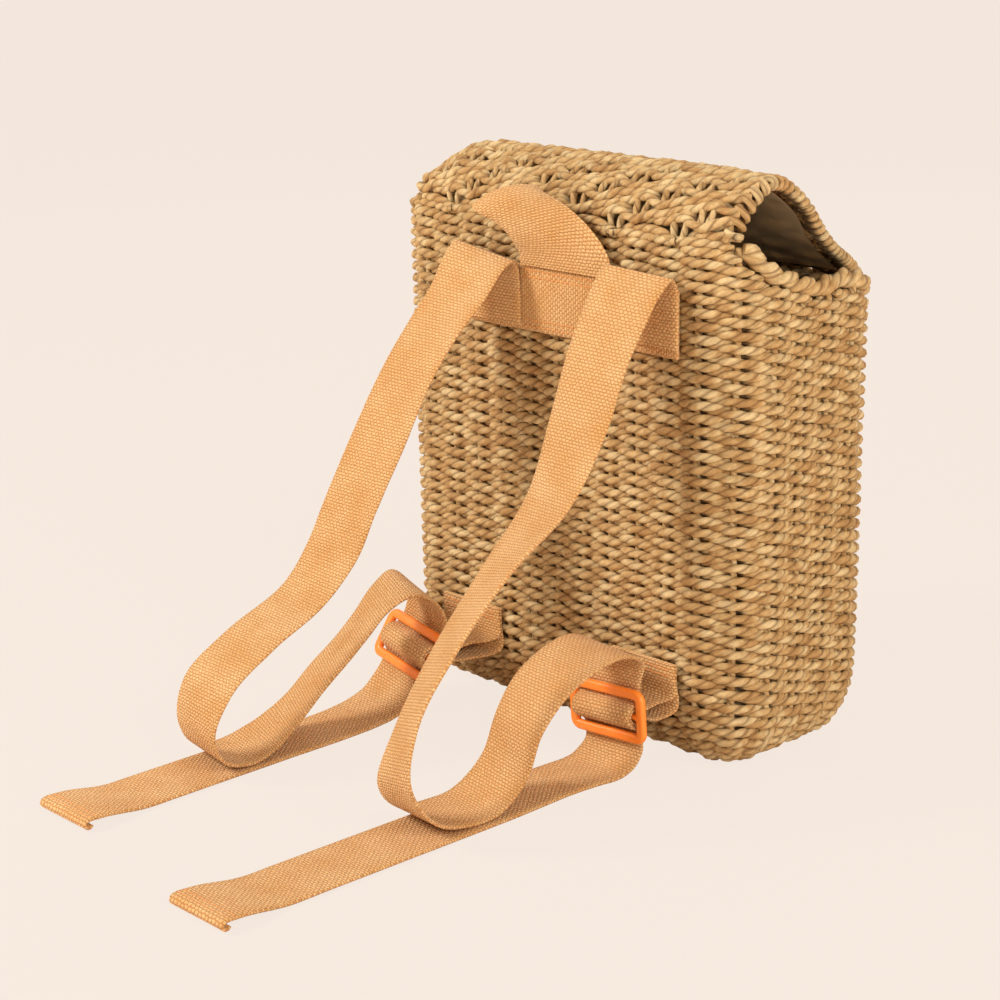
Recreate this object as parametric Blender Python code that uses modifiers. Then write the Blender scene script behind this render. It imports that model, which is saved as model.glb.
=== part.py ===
"""A child's woven pack basket with a lid woven onto its back wall and two webbing shoulder straps.

The basket stands on its base. The origin is the middle of the base, +Z is up, the lid's free end
faces -Y and the back panel, which the wearer's back meets, faces +Y. The wearer's left is -X.
"""

from dataclasses import dataclass
from math import acos, atan2, cos, hypot, pi, radians, sin, sqrt

import bmesh
import bpy
from mathutils import Matrix, Vector

MM = 0.001

# Basket body
BODY_WIDTH = 226 * MM
BODY_DEPTH = 104 * MM
BODY_CORNER_RADIUS = 30 * MM
BODY_TAPER = 2.5 * MM
WALL_THICKNESS = 5 * MM
BASE_TURN_IN = 24 * MM
BASE_TURN_UP = 34 * MM
BASE_LIP = 4 * MM
BASE_THICKNESS = 5 * MM
BACK_HEIGHT = 241.7 * MM
SIDE_HEIGHT = 214 * MM
RIM_CORD_RADIUS = 3.4 * MM
RIM_CORD_BACK_END_SHARE = 0.72

# Lid
LID_RISE = 28 * MM
LID_THICKNESS = 4.6 * MM
LID_FRONT_DROP = 55 * MM
LID_FRONT_STANDOFF = 2.8 * MM
LID_EDGE_CORD_RADIUS = 2.6 * MM
LID_LEFT_DROOP = 1.4 * MM
LID_RIGHT_DROOP = 20 * MM
LID_RIGHT_WIDTH_SHARE = 0.88

# Lining
LINING_THICKNESS = 0.8 * MM
LINING_HEM_DROP = 5 * MM
LID_LINING_ROWS = 20

# Webbing, anchor patch and hang loop
WEBBING_WIDTH = 36 * MM
WEBBING_THICKNESS = 1.5 * MM
PATCH_WIDTH = 130 * MM
PATCH_HEIGHT = 30.6 * MM
PATCH_THICKNESS = 1.8 * MM
PATCH_TOP = 221.2 * MM
STRAP_GROUP_OFFSET = -14 * MM
THREAD_RADIUS = 0.35 * MM
STITCH_LINE_SPACING = 3 * MM
STITCH_EDGE_INSET = 2.4 * MM
HANG_LOOP_MIDDLE = -12.5 * MM
HANG_LOOP_REACH = 14 * MM
HANG_LOOP_HEIGHT = 34.5 * MM

# Shoulder straps
STRAP_SPACING_SHARE = 0.4336
LOOP_REACH = 160 * MM
FOLD_HEIGHT = 228 * MM
TAIL_WIDTH_SHARE = 0.94
HEM_ROLL_RADIUS = 1.7 * MM
HEM_FLAT_LENGTH = 6 * MM
HEM_LIFT_LENGTH = 26 * MM
HEM_ROLL_STEPS = 7

# Buckles and the tabs that hold them
BUCKLE_WIDTH = 46 * MM
BUCKLE_HEIGHT = 24.6 * MM
BUCKLE_BAR = 4.4 * MM
BUCKLE_CENTRE_BAR = 3.2 * MM
BUCKLE_RAIL = 4.6 * MM
BUCKLE_THICKNESS = 3.4 * MM
BUCKLE_CORNER_RADIUS = 5.5 * MM
BUCKLE_PLAY = 0.5 * MM
TAB_WIDTH = 40 * MM
TAB_LOOP_WIDTH = 35.6 * MM
TAB_THICKNESS = 1.2 * MM
TAB_TOP = 51 * MM
TAB_BOTTOM = 35 * MM

# Clearances
GAP = 0.3 * MM
SOFT_GAP = 0.4 * MM

HALF_WIDTH = BODY_WIDTH / 2
HALF_DEPTH = BODY_DEPTH / 2
BACK_FACE = HALF_DEPTH
STRAP_SPACING = BODY_WIDTH * STRAP_SPACING_SHARE
HINGE_HEIGHT = BACK_HEIGHT + GAP
PATCH_FACE = BACK_FACE + GAP + PATCH_THICKNESS
BUCKLE_BEVEL = BUCKLE_THICKNESS * 0.42
BUCKLE_SLOT = (BUCKLE_HEIGHT - 2 * BUCKLE_BAR - BUCKLE_CENTRE_BAR) / 2

# Height of the wall's top edge at the sides and front: place along the half depth, share of the
# drop between the back and the sides.
RIM_SHARES = (
    (1.0, 1.0),
    (0.81, 1.0),
    (0.70, 0.62),
    (0.54, 0.38),
    (0.19, 0.18),
    (0.02, 0.04),
    (-0.15, 0.09),
    (-0.38, 0.16),
    (-0.58, 0.07),
    (-0.87, -0.20),
    (-1.0, -0.26),
)

# Lid profile from the hinge to the turn over the front wall: place along the half depth, share of
# the rise above the hinge, half width as a share of the body's half width.
LID_SHARES = (
    (1.0, 0.0, 0.925),
    (0.985, 0.30, 0.935),
    (0.89, 0.64, 0.945),
    (0.71, 0.88, 0.95),
    (0.52, 1.0, 0.95),
    (0.33, 0.97, 0.935),
    (0.12, 0.77, 0.925),
    (-0.11, 0.42, 0.91),
    (-0.33, 0.01, 0.885),
    (-0.55, -0.31, 0.865),
    (-0.76, -0.53, 0.84),
    (-0.93, -0.68, 0.805),
)

# Strap routes from the sewn end to the buckle. Each row holds the place across in strap spacings
# from the middle of the pair, the place out from the back wall in loop reaches, the height in fold
# heights, and how far the webbing's +X edge leans out and up for each unit across.
LEFT_STRAP_SHARES = (
    (-0.500, 0.020, 0.856, 0.00, 0.00),
    (-0.500, 0.020, 0.929, 0.00, 0.00),
    (-0.500, 0.036, 0.985, 0.06, 0.03),
    (-0.500, 0.056, 0.998, 0.12, 0.08),
    (-0.496, 0.083, 0.983, 0.10, 0.08),
    (-0.486, 0.134, 0.929, 0.05, 0.05),
    (-0.473, 0.197, 0.847, 0.00, 0.02),
    (-0.455, 0.253, 0.737, -0.04, 0.00),
    (-0.430, 0.362, 0.587, -0.25, -0.08),
    (-0.405, 0.529, 0.484, -0.36, -0.28),
    (-0.380, 0.718, 0.346, -0.44, -0.36),
    (-0.357, 0.841, 0.219, -0.48, -0.36),
    (-0.340, 0.878, 0.111, -0.30, -0.26),
    (-0.330, 0.794, 0.034, -0.20, -0.10),
    (-0.327, 0.688, 0.015, -0.15, -0.01),
    (-0.335, 0.594, 0.018, -0.13, 0.00),
    (-0.357, 0.497, 0.070, -0.17, 0.00),
    (-0.376, 0.445, 0.158, -0.18, 0.00),
    (-0.393, 0.384, 0.213, -0.08, 0.00),
    (-0.408, 0.271, 0.256, 0.00, 0.03),
    (-0.410, 0.163, 0.265, 0.00, 0.06),
    (-0.405, 0.087, 0.238, 0.00, 0.04),
)
RIGHT_STRAP_SHARES = (
    (0.500, 0.020, 0.847, 0.00, 0.00),
    (0.500, 0.020, 0.921, 0.00, 0.00),
    (0.500, 0.036, 0.976, 0.05, 0.10),
    (0.500, 0.055, 0.990, 0.10, 0.18),
    (0.505, 0.083, 0.976, 0.08, 0.14),
    (0.524, 0.141, 0.916, 0.03, 0.06),
    (0.557, 0.219, 0.849, -0.02, 0.00),
    (0.594, 0.291, 0.774, -0.04, 0.00),
    (0.653, 0.400, 0.621, 0.02, 0.00),
    (0.700, 0.481, 0.500, 0.00, 0.00),
    (0.735, 0.534, 0.412, 0.00, 0.00),
    (0.770, 0.616, 0.337, -0.10, 0.00),
    (0.820, 0.804, 0.259, -0.02, 0.00),
    (0.861, 0.938, 0.182, -0.02, 0.00),
    (0.890, 0.972, 0.096, -0.16, 0.00),
    (0.910, 0.925, 0.036, -0.16, 0.00),
    (0.918, 0.844, 0.015, -0.12, 0.00),
    (0.912, 0.738, 0.028, -0.28, 0.00),
    (0.903, 0.631, 0.067, -0.50, 0.00),
    (0.896, 0.525, 0.125, -0.55, 0.00),
    (0.890, 0.434, 0.169, -0.58, 0.00),
    (0.884, 0.362, 0.210, -0.56, 0.00),
    (0.878, 0.284, 0.257, -0.50, 0.02),
    (0.867, 0.206, 0.278, -0.40, 0.08),
    (0.860, 0.141, 0.251, -0.30, 0.06),
)

# Hang loop: place across in webbing widths from the loop's foot, place out in loop depths from
# the back wall, height in loop heights above the patch, leans out and up, and width share.
HANG_LOOP_SHARES = (
    (0.00, 0.23, 0.00, 0.00, 0.00, 1.30),
    (-0.03, 0.38, 0.22, 0.03, -0.05, 1.32),
    (0.12, 0.58, 0.48, 0.10, -0.22, 1.20),
    (0.43, 0.78, 0.76, 0.22, -0.36, 1.06),
    (0.80, 0.84, 0.91, 0.32, -0.42, 1.0),
    (0.91, 0.62, 0.95, 0.28, -0.42, 1.0),
    (0.84, 0.36, 0.84, 0.14, -0.42, 1.0),
    (0.60, 0.17, 0.64, 0.03, -0.34, 1.05),
    (0.24, 0.095, 0.34, 0.00, -0.18, 1.18),
    (0.00, 0.085, 0.00, 0.00, 0.00, 1.30),
)


@dataclass(frozen=True)
class StrapSide:
    """One shoulder strap's route and where its buckle, tab and tail lie.

    Attributes:
        name: The side's name.
        route: The strap's rows from its sewn end to the buckle.
        across_share: The buckle's place across, in strap spacings from the middle of the pair.
        out_share: The buckle's distance out from the back wall, in loop reaches.
        up_share: Height of the buckle's centre bar, in fold heights.
        tilt: The buckle's angle about X; positive brings the lower bar out.
        turn: The buckle's angle about Z.
        roll: The buckle's angle about Y.
        tab_share: Middle of the sewn tab, in strap spacings from the middle of the pair.
        settle: How far out the tail needs to come down to the floor.
        reach: How far the tail's rolled end lies out from the buckle.
        hem_share: Middle of the rolled end, in strap spacings from the middle of the pair.
    """

    name: str
    route: tuple
    across_share: float
    out_share: float
    up_share: float
    tilt: float
    turn: float
    roll: float
    tab_share: float
    settle: float
    reach: float
    hem_share: float

    def centre(self):
        """Return the middle of the buckle's centre bar."""
        return Vector((STRAP_GROUP_OFFSET + self.across_share * STRAP_SPACING,
                       BACK_FACE + self.out_share * LOOP_REACH,
                       self.up_share * FOLD_HEIGHT))

    def axes(self):
        """Return the buckle's across, out and up directions."""
        turned = Matrix.Rotation(self.turn, 3, "Z") @ Matrix.Rotation(self.roll, 3, "Y")
        frame = turned @ Matrix.Rotation(self.tilt, 3, "X")
        return frame.col[0].copy(), frame.col[1].copy(), frame.col[2].copy()

    def place(self, out, up):
        """Return the point at the given distances out of and up the buckle's plane."""
        _, outward, upward = self.axes()
        return self.centre() + outward * out + upward * up

    def leans(self):
        """Return how far the buckle's bars lean out and up for each unit across."""
        across, _, _ = self.axes()
        return across.y / across.x, across.z / across.x


LEFT_SIDE = StrapSide(
    name="left", route=LEFT_STRAP_SHARES, across_share=-0.398, out_share=0.115, up_share=0.122,
    tilt=0.0, turn=0.0, roll=radians(4), tab_share=-0.46,
    settle=20 * MM, reach=227 * MM, hem_share=-0.342)
RIGHT_SIDE = StrapSide(
    name="right", route=RIGHT_STRAP_SHARES, across_share=0.908, out_share=0.162, up_share=0.126,
    tilt=radians(28), turn=radians(-7), roll=radians(-6), tab_share=0.71,
    settle=44 * MM, reach=196 * MM, hem_share=0.886)


@dataclass(frozen=True)
class Finish:
    """The colour, roughness and metallic value of a sub-part's material."""

    colour: tuple
    roughness: float
    metallic: float = 0.0


PAPER_ROPE = Finish((0.60, 0.39, 0.17, 1), 0.85)
DARK_ROPE = Finish((0.52, 0.33, 0.14, 1), 0.85)
WEBBING = Finish((0.76, 0.37, 0.10, 1), 0.85)
THREAD = Finish((0.66, 0.30, 0.08, 1), 0.8)
ORANGE_PLASTIC = Finish((1.0, 0.13, 0.01, 1), 0.3)
LINING_CLOTH = Finish((0.14, 0.11, 0.055, 1), 0.9)


def clear_scene():
    """Remove the objects and meshes of the open scene."""
    for old in list(bpy.data.objects):
        bpy.data.objects.remove(old, do_unlink=True)
    for mesh in list(bpy.data.meshes):
        bpy.data.meshes.remove(mesh)


def make_collection(name):
    """Return a new collection of the scene."""
    collection = bpy.data.collections.new(name)
    bpy.context.scene.collection.children.link(collection)
    return collection


def paint(obj, finish):
    """Give an object its own Principled material."""
    material = bpy.data.materials.new(obj.name)
    material.use_nodes = True
    shader = material.node_tree.nodes["Principled BSDF"]
    shader.inputs["Base Color"].default_value = finish.colour
    shader.inputs["Roughness"].default_value = finish.roughness
    shader.inputs["Metallic"].default_value = finish.metallic
    material.diffuse_color = finish.colour
    obj.data.materials.clear()
    obj.data.materials.append(material)


def add_mesh(name, mesh, finish, collection):
    """Return a new object of a mesh, painted and smooth over its gentle edges."""
    obj = bpy.data.objects.new(name, mesh)
    collection.objects.link(obj)
    paint(obj, finish)
    mesh.shade_smooth()
    mesh.set_sharp_from_angle(angle=radians(40))
    return obj


def smooth_step(value):
    """Return an S-shaped blend of a value held between 0 and 1."""
    held = min(max(value, 0.0), 1.0)
    return held * held * (3 - 2 * held)


def along_table(table, place):
    """Return the table's second value at a place, eased between its falling rows."""
    for (high, high_value), (low, low_value) in zip(table, table[1:]):
        if place >= low:
            part = (high - place) / (high - low)
            return high_value + (low_value - high_value) * smooth_step(part)
    return table[-1][1]


def row_distance(first, second):
    """Return the distance between the points that two rows start with."""
    return max(sqrt(sum((b - a) ** 2 for a, b in zip(first[:3], second[:3]))), GAP / 10)


def row_slopes(rows):
    """Return each row's rate of change along the line through the rows."""
    spans = [row_distance(first, second) for first, second in zip(rows, rows[1:])]
    rates = [tuple((b - a) / span for a, b in zip(first, second))
             for first, second, span in zip(rows, rows[1:], spans)]
    slopes = [rates[0]]
    for before, after, span, next_span in zip(rates, rates[1:], spans, spans[1:]):
        total = span + next_span
        slopes.append(tuple((a * next_span + b * span) / total for a, b in zip(before, after)))
    slopes.append(rates[-1])
    return spans, slopes


def spline_rows(rows, steps):
    """Return rows read from a smooth curve through the given rows.

    Args:
        rows: Rows of equal length that start with a point.
        steps: How many rows stand between one given row and the next.
    """
    spans, slopes = row_slopes(rows)
    smooth = []
    for index, span in enumerate(spans):
        start, end = rows[index], rows[index + 1]
        for step in range(steps):
            t = step / steps
            keep, lead = 2 * t ** 3 - 3 * t ** 2 + 1, t ** 3 - 2 * t ** 2 + t
            trail = t ** 3 - t ** 2
            smooth.append(tuple(
                keep * a + (1 - keep) * b + (lead * rate + trail * next_rate) * span
                for a, b, rate, next_rate in zip(start, end, slopes[index], slopes[index + 1])))
    smooth.append(tuple(rows[-1]))
    return smooth


def inward_rows(rows, depth, closed):
    """Return the rows of a surface moved square to itself.

    Args:
        rows: Rows of points, each with as many points.
        depth: How far it moves.
        closed: Whether each row's last point joins its first.
    """
    moved = []
    last = len(rows) - 1
    end = len(rows[0]) - 1
    for index, row in enumerate(rows):
        line = []
        for place, point in enumerate(row):
            if closed:
                across = row[(place + 1) % len(row)] - row[place - 1]
            else:
                across = row[min(place + 1, end)] - row[max(place - 1, 0)]
            along = rows[min(index + 1, last)][place] - rows[max(index - 1, 0)][place]
            line.append(point + across.cross(along).normalized() * depth)
        moved.append(line)
    return moved


def grid_mesh(name, rows, closed, outward_hint):
    """Return an open mesh of rows of points, its faces turned to the outward hint.

    Args:
        name: The mesh's name.
        rows: Rows of points, each with as many points.
        closed: Whether each row's last point joins its first.
        outward_hint: A function of a face's centre that gives a direction out of the surface.
    """
    mesh = bpy.data.meshes.new(name)
    shape = bmesh.new()
    made = [[shape.verts.new(point) for point in row] for row in rows]
    count = len(rows[0])
    spans = count if closed else count - 1
    for lower, upper in zip(made, made[1:]):
        for index in range(spans):
            following = (index + 1) % count
            shape.faces.new((lower[index], lower[following], upper[following], upper[index]))
    shape.normal_update()
    turned = sum(face.normal.dot(outward_hint(face.calc_center_median())) * face.calc_area()
                 for face in shape.faces)
    if turned < 0:
        bmesh.ops.reverse_faces(shape, faces=shape.faces)
    shape.to_mesh(mesh)
    shape.free()
    return mesh


def thicken(obj, thickness, offset):
    """Give an open surface its thickness."""
    solidify = obj.modifiers.new("Thickness", "SOLIDIFY")
    solidify.thickness = thickness
    solidify.offset = offset
    solidify.use_even_offset = True


def corner_points(centre_x, centre_y, radius, start, count):
    """Return the points of a quarter turn about a corner's centre."""
    return [(centre_x + radius * cos(start + pi / 2 * step / count),
             centre_y + radius * sin(start + pi / 2 * step / count))
            for step in range(count)]


def plan_outline(inset):
    """Return the points of the body's plan, drawn in from its outer face by an inset."""
    radius = BODY_CORNER_RADIUS - inset
    across = HALF_WIDTH - BODY_CORNER_RADIUS
    deep = HALF_DEPTH - BODY_CORNER_RADIUS
    corner_steps = 6
    back_steps = 8
    side_steps = 6
    points = []
    sides = (
        (across, deep, 0, back_steps, (-1, 0), 2 * across),
        (-across, deep, pi / 2, side_steps, (0, -1), 2 * deep),
        (-across, -deep, pi, back_steps, (1, 0), 2 * across),
        (across, -deep, 3 * pi / 2, side_steps, (0, 1), 2 * deep),
    )
    for x, y, start, steps, run, length in sides:
        points += corner_points(x, y, radius, start, corner_steps)
        end_x = x + radius * cos(start + pi / 2)
        end_y = y + radius * sin(start + pi / 2)
        points += [(end_x + run[0] * length * step / steps, end_y + run[1] * length * step / steps)
                   for step in range(steps)]
    return points


def wall_top(y):
    """Return the height of the wall's top edge at a place along Y."""
    share = along_table(RIM_SHARES, y / HALF_DEPTH)
    return SIDE_HEIGHT + (BACK_HEIGHT - SIDE_HEIGHT) * share


def shell_rows(top_drop):
    """Return the rows of points of the body's outer face, up from under the base.

    Args:
        top_drop: How far its top edge lies under the wall's top edge.
    """
    rows = [[tapered(x, y, 0) for x, y in plan_outline(BASE_TURN_IN + BASE_LIP)]]
    bend_steps = 4
    height_steps = 4
    for step in range(bend_steps + 1):
        angle = pi / 2 * (1 - step / bend_steps)
        inset = BASE_TURN_IN * (1 - cos(angle))
        height = BASE_TURN_UP * (1 - sin(angle))
        rows.append([tapered(x, y, height) for x, y in plan_outline(inset)])
    outline = plan_outline(0)
    for step in range(1, height_steps + 1):
        share = step / height_steps
        rows.append([tapered(x, y, BASE_TURN_UP + (wall_top(y) - top_drop - BASE_TURN_UP) * share)
                     for x, y in outline])
    return rows


def tapered(x, y, height):
    """Return a plan point at a height, drawn in a little towards the base."""
    share = 1 - BODY_TAPER / HALF_WIDTH * max(0.0, 1 - height / SIDE_HEIGHT)
    return Vector((x * share, y * share, height))


def from_body_axis(centre):
    """Return the direction from the body's upright axis to a point."""
    return Vector((centre.x, centre.y, centre.z - SIDE_HEIGHT / 2))


def build_wall(collection):
    """Return the basket's woven wall, which turns in under the body."""
    mesh = grid_mesh("basket_wall", shell_rows(0), True, from_body_axis)
    wall = add_mesh("basket_wall", mesh, PAPER_ROPE, collection)
    thicken(wall, WALL_THICKNESS, -1)
    return wall


def plate(name, inset, bottom, thickness, finish, collection):
    """Return a flat plate of the body's plan."""
    rows = [tapered(x, y, 0) for x, y in plan_outline(inset)]
    mesh = bpy.data.meshes.new(name)
    shape = bmesh.new()
    corners = [shape.verts.new((point.x, point.y, bottom + thickness)) for point in rows]
    shape.faces.new(corners)
    shape.normal_update()
    for face in shape.faces:
        if face.normal.z < 0:
            face.normal_flip()
    shape.to_mesh(mesh)
    shape.free()
    obj = add_mesh(name, mesh, finish, collection)
    thicken(obj, thickness, -1)
    return obj


def build_base(collection):
    """Return the woven base that fills the opening under the wall's turned edge."""
    inset = BASE_TURN_IN + BASE_LIP + GAP
    return plate("basket_base", inset, 0, BASE_THICKNESS, PAPER_ROPE, collection)


def tube(name, points, radius, finish, collection, resolution=2):
    """Return a capped tube through the given points."""
    curve = bpy.data.curves.new(name, "CURVE")
    curve.dimensions = "3D"
    curve.bevel_depth = radius
    curve.bevel_resolution = resolution
    curve.use_fill_caps = True
    line = curve.splines.new("POLY")
    line.points.add(len(points) - 1)
    for spot, point in zip(line.points, points):
        spot.co = (*point, 1)
    drawn = bpy.data.objects.new(name + "_path", curve)
    collection.objects.link(drawn)
    bpy.context.view_layer.update()
    evaluated = drawn.evaluated_get(bpy.context.evaluated_depsgraph_get())
    mesh = bpy.data.meshes.new_from_object(evaluated)
    bpy.data.objects.remove(drawn, do_unlink=True)
    mesh.name = name
    shape = bmesh.new()
    shape.from_mesh(mesh)
    bmesh.ops.remove_doubles(shape, verts=shape.verts, dist=radius / 1000)
    shape.to_mesh(mesh)
    shape.free()
    return add_mesh(name, mesh, finish, collection)


def rim_path():
    """Return the rim cord's path, from the back of one side round the front to the other."""
    seat = WALL_THICKNESS / 2
    back_end = RIM_CORD_BACK_END_SHARE * HALF_DEPTH
    pairs = list(zip(plan_outline(seat), plan_outline(0)))
    start = next(index for index, (_, (x, y)) in enumerate(pairs) if x < 0 and y < back_end)
    edge = [Vector((x, y, wall_top(outer_y)))
            for (x, y), (_, outer_y) in pairs[start:] + pairs[:start] if outer_y < back_end]
    offsets = upward_offsets(edge, SOFT_GAP + RIM_CORD_RADIUS)
    return [point + offset for point, offset in zip(edge, offsets)]


def upward_offsets(path, reach):
    """Return the offsets that lift a path off itself by an even distance."""
    normals = []
    for start, end in zip(path, path[1:]):
        run = (end - start).normalized()
        normals.append((Vector((0, 0, 1)) - run * run.z).normalized())
    offsets = []
    for before, after in zip([normals[0]] + normals, normals + [normals[-1]]):
        middle = (before + after).normalized()
        offsets.append(middle * reach / middle.dot(before))
    return offsets


def build_rim(collection):
    """Return the plaited border that caps the sides and the front of the wall."""
    return tube("rim_border", rim_path(), RIM_CORD_RADIUS, DARK_ROPE, collection)


def lid_profile():
    """Return the lid's outer profile rows: y, z and half width, from the hinge to the hem."""
    rows = [(share_y * HALF_DEPTH, HINGE_HEIGHT + share_z * LID_RISE, share_x * HALF_WIDTH)
            for share_y, share_z, share_x in LID_SHARES]
    front = -(HALF_DEPTH + LID_FRONT_STANDOFF + LID_THICKNESS)
    turn_y, turn_z, turn_width = rows[-1]
    bend = turn_y - front
    rows.append((front + bend * (1 - cos(pi / 4)) * 0.5, turn_z - bend * 0.62, turn_width * 0.98))
    rows.append((front, turn_z - bend * 1.7, turn_width * 0.97))
    hem = turn_z - LID_FRONT_DROP
    run = turn_z - bend * 1.7 - hem
    rows.append((front, hem + run * 0.5, turn_width * 0.96))
    rows.append((front, hem + run * 0.25, turn_width * 0.92))
    rows.append((front, hem + run * 0.08, turn_width * 0.84))
    rows.append((front, hem, turn_width * 0.74))
    return spline_rows(rows, 2)


def corner_inset(x):
    """Return how far the body's back corner lies in front of its back face at a place across."""
    past = min(max(abs(x) - (HALF_WIDTH - BODY_CORNER_RADIUS), 0.0), BODY_CORNER_RADIUS)
    return BODY_CORNER_RADIUS - sqrt(BODY_CORNER_RADIUS ** 2 - past ** 2)


def lid_point(row, across):
    """Return a point of the lid's outer face.

    Args:
        row: The profile row: y, z and half width.
        across: Place across the lid, -1 to 1 between its side edges.
    """
    y, z, half = row
    x = across * half
    limit = LID_LEFT_DROOP
    if x > 0:
        limit = LID_RIGHT_DROOP
        x *= LID_RIGHT_WIDTH_SHARE
    height_share = min(max((z - HINGE_HEIGHT) / LID_RISE, 0.0), 1.0)
    over_back = smooth_step((y / HALF_DEPTH - 0.45) / 0.5)
    edge_share = max(0.0, abs(x) / HALF_WIDTH - 0.58) / 0.29
    droop = limit * edge_share ** 2 * smooth_step(height_share) ** 2
    return Vector((x, y - corner_inset(x) * over_back, z - droop))


def lid_rows():
    """Return the rows of points of the lid's outer face, from the hinge to the hem."""
    steps = 18
    places = []
    for step in range(steps + 1):
        even = 2 * step / steps - 1
        places.append(even * 0.6 + sin(even * pi / 2) * 0.4)
    return [[lid_point(row, place) for place in places] for row in lid_profile()]


def from_lid_middle(centre):
    """Return the direction from under the lid to a point of it."""
    return Vector((0, centre.y, centre.z - HINGE_HEIGHT + HALF_DEPTH))


def build_lid(collection, pivot):
    """Return the lid flap, which grows out of the back wall and folds over the front."""
    mesh = grid_mesh("lid_flap", lid_rows(), False, from_lid_middle)
    lid = add_mesh("lid_flap", mesh, PAPER_ROPE, collection)
    thicken(lid, LID_THICKNESS, -1)
    hang_on(lid, pivot)
    return lid


def build_lid_lining(collection, pivot):
    """Return the cloth that lines the lid's inner face."""
    rows = inward_rows(lid_rows(), LID_THICKNESS + 2 * SOFT_GAP, False)[2:LID_LINING_ROWS]
    rows = [row[1:-1] for row in rows]
    mesh = grid_mesh("lid_lining", rows, False, from_lid_middle)
    lining = add_mesh("lid_lining", mesh, LINING_CLOTH, collection)
    thicken(lining, LINING_THICKNESS, -1)
    hang_on(lining, pivot)
    return lining


def edge_path(edge, inner, reach):
    """Return a path that runs beside an edge of a surface, in the surface's own plane.

    Args:
        edge: The points of the edge.
        inner: The points of the next line inside the edge.
        reach: How far the path lies outside the edge.
    """
    path = []
    for index, point in enumerate(edge):
        run = edge[min(index + 1, len(edge) - 1)] - edge[max(index - 1, 0)]
        away = point - inner[index]
        away -= run * (away.dot(run) / run.dot(run))
        path.append(point + away.normalized() * reach)
    return path


def build_lid_edge(collection, pivot):
    """Return the cord that is whipped along the lid's sides and free end."""
    surface = inward_rows(lid_rows(), LID_THICKNESS / 2, False)
    reach = LID_EDGE_CORD_RADIUS + SOFT_GAP
    right = edge_path([row[-1] for row in surface], [row[-2] for row in surface], reach)
    left = edge_path([row[0] for row in surface], [row[1] for row in surface], reach)
    hem = edge_path(surface[-1], surface[-2], reach)
    path = right[6:] + list(reversed(hem)) + list(reversed(left[2:]))
    cord = tube("lid_edge_cord", path, LID_EDGE_CORD_RADIUS, DARK_ROPE, collection, 1)
    hang_on(cord, pivot)
    return cord


def build_lining(collection):
    """Return the cloth inside the body: its wall and its bottom."""
    depth = WALL_THICKNESS + SOFT_GAP
    rows = inward_rows(shell_rows(LINING_HEM_DROP), -depth, True)
    mesh = grid_mesh("lining_wall", rows, True, from_body_axis)
    wall = add_mesh("lining_wall", mesh, LINING_CLOTH, collection)
    thicken(wall, LINING_THICKNESS, -1)
    inset = BASE_TURN_IN + BASE_LIP + GAP
    bottom = BASE_THICKNESS + SOFT_GAP
    plate("lining_base", inset, bottom, LINING_THICKNESS, LINING_CLOTH, collection)
    return wall


def box(name, low, high, bevel, finish, collection):
    """Return a box between two corners with a small bevel."""
    mesh = bpy.data.meshes.new(name)
    shape = bmesh.new()
    bmesh.ops.create_cube(shape, size=1)
    for vert in shape.verts:
        vert.co = Vector([a + (b - a) * (c + 0.5) for a, b, c in zip(low, high, vert.co)])
    shape.to_mesh(mesh)
    shape.free()
    obj = add_mesh(name, mesh, finish, collection)
    rounding = obj.modifiers.new("Rounding", "BEVEL")
    rounding.width = bevel
    rounding.segments = 2
    return obj


def build_patch(collection):
    """Return the webbing patch sewn across the top of the back wall."""
    low = (STRAP_GROUP_OFFSET - PATCH_WIDTH / 2, BACK_FACE + GAP, PATCH_TOP - PATCH_HEIGHT)
    high = (STRAP_GROUP_OFFSET + PATCH_WIDTH / 2, PATCH_FACE, PATCH_TOP)
    return box("anchor_patch", low, high, PATCH_THICKNESS / 4, WEBBING, collection)


def there_and_back(line, across):
    """Return a double row of stitching as one thread that runs out and back."""
    out = [point + across / 2 for point in line]
    back = [point - across / 2 for point in reversed(line)]
    return out + back


def build_patch_stitching(collection):
    """Return the two double rows of stitching that hold the patch."""
    inset = STITCH_EDGE_INSET + STITCH_LINE_SPACING / 2
    half_run = (STRAP_SPACING - WEBBING_WIDTH) / 2 - STITCH_EDGE_INSET
    face = PATCH_FACE + GAP + THREAD_RADIUS
    rows = (("patch_stitching_top", PATCH_TOP - inset),
            ("patch_stitching_bottom", PATCH_TOP - PATCH_HEIGHT + inset))
    for name, height in rows:
        line = [Vector((STRAP_GROUP_OFFSET + half_run * share, face, height)) for share in (-1, 0, 1)]
        path = there_and_back(line, Vector((0, 0, STITCH_LINE_SPACING)))
        tube(name, path, THREAD_RADIUS, THREAD, collection, 1)


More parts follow.
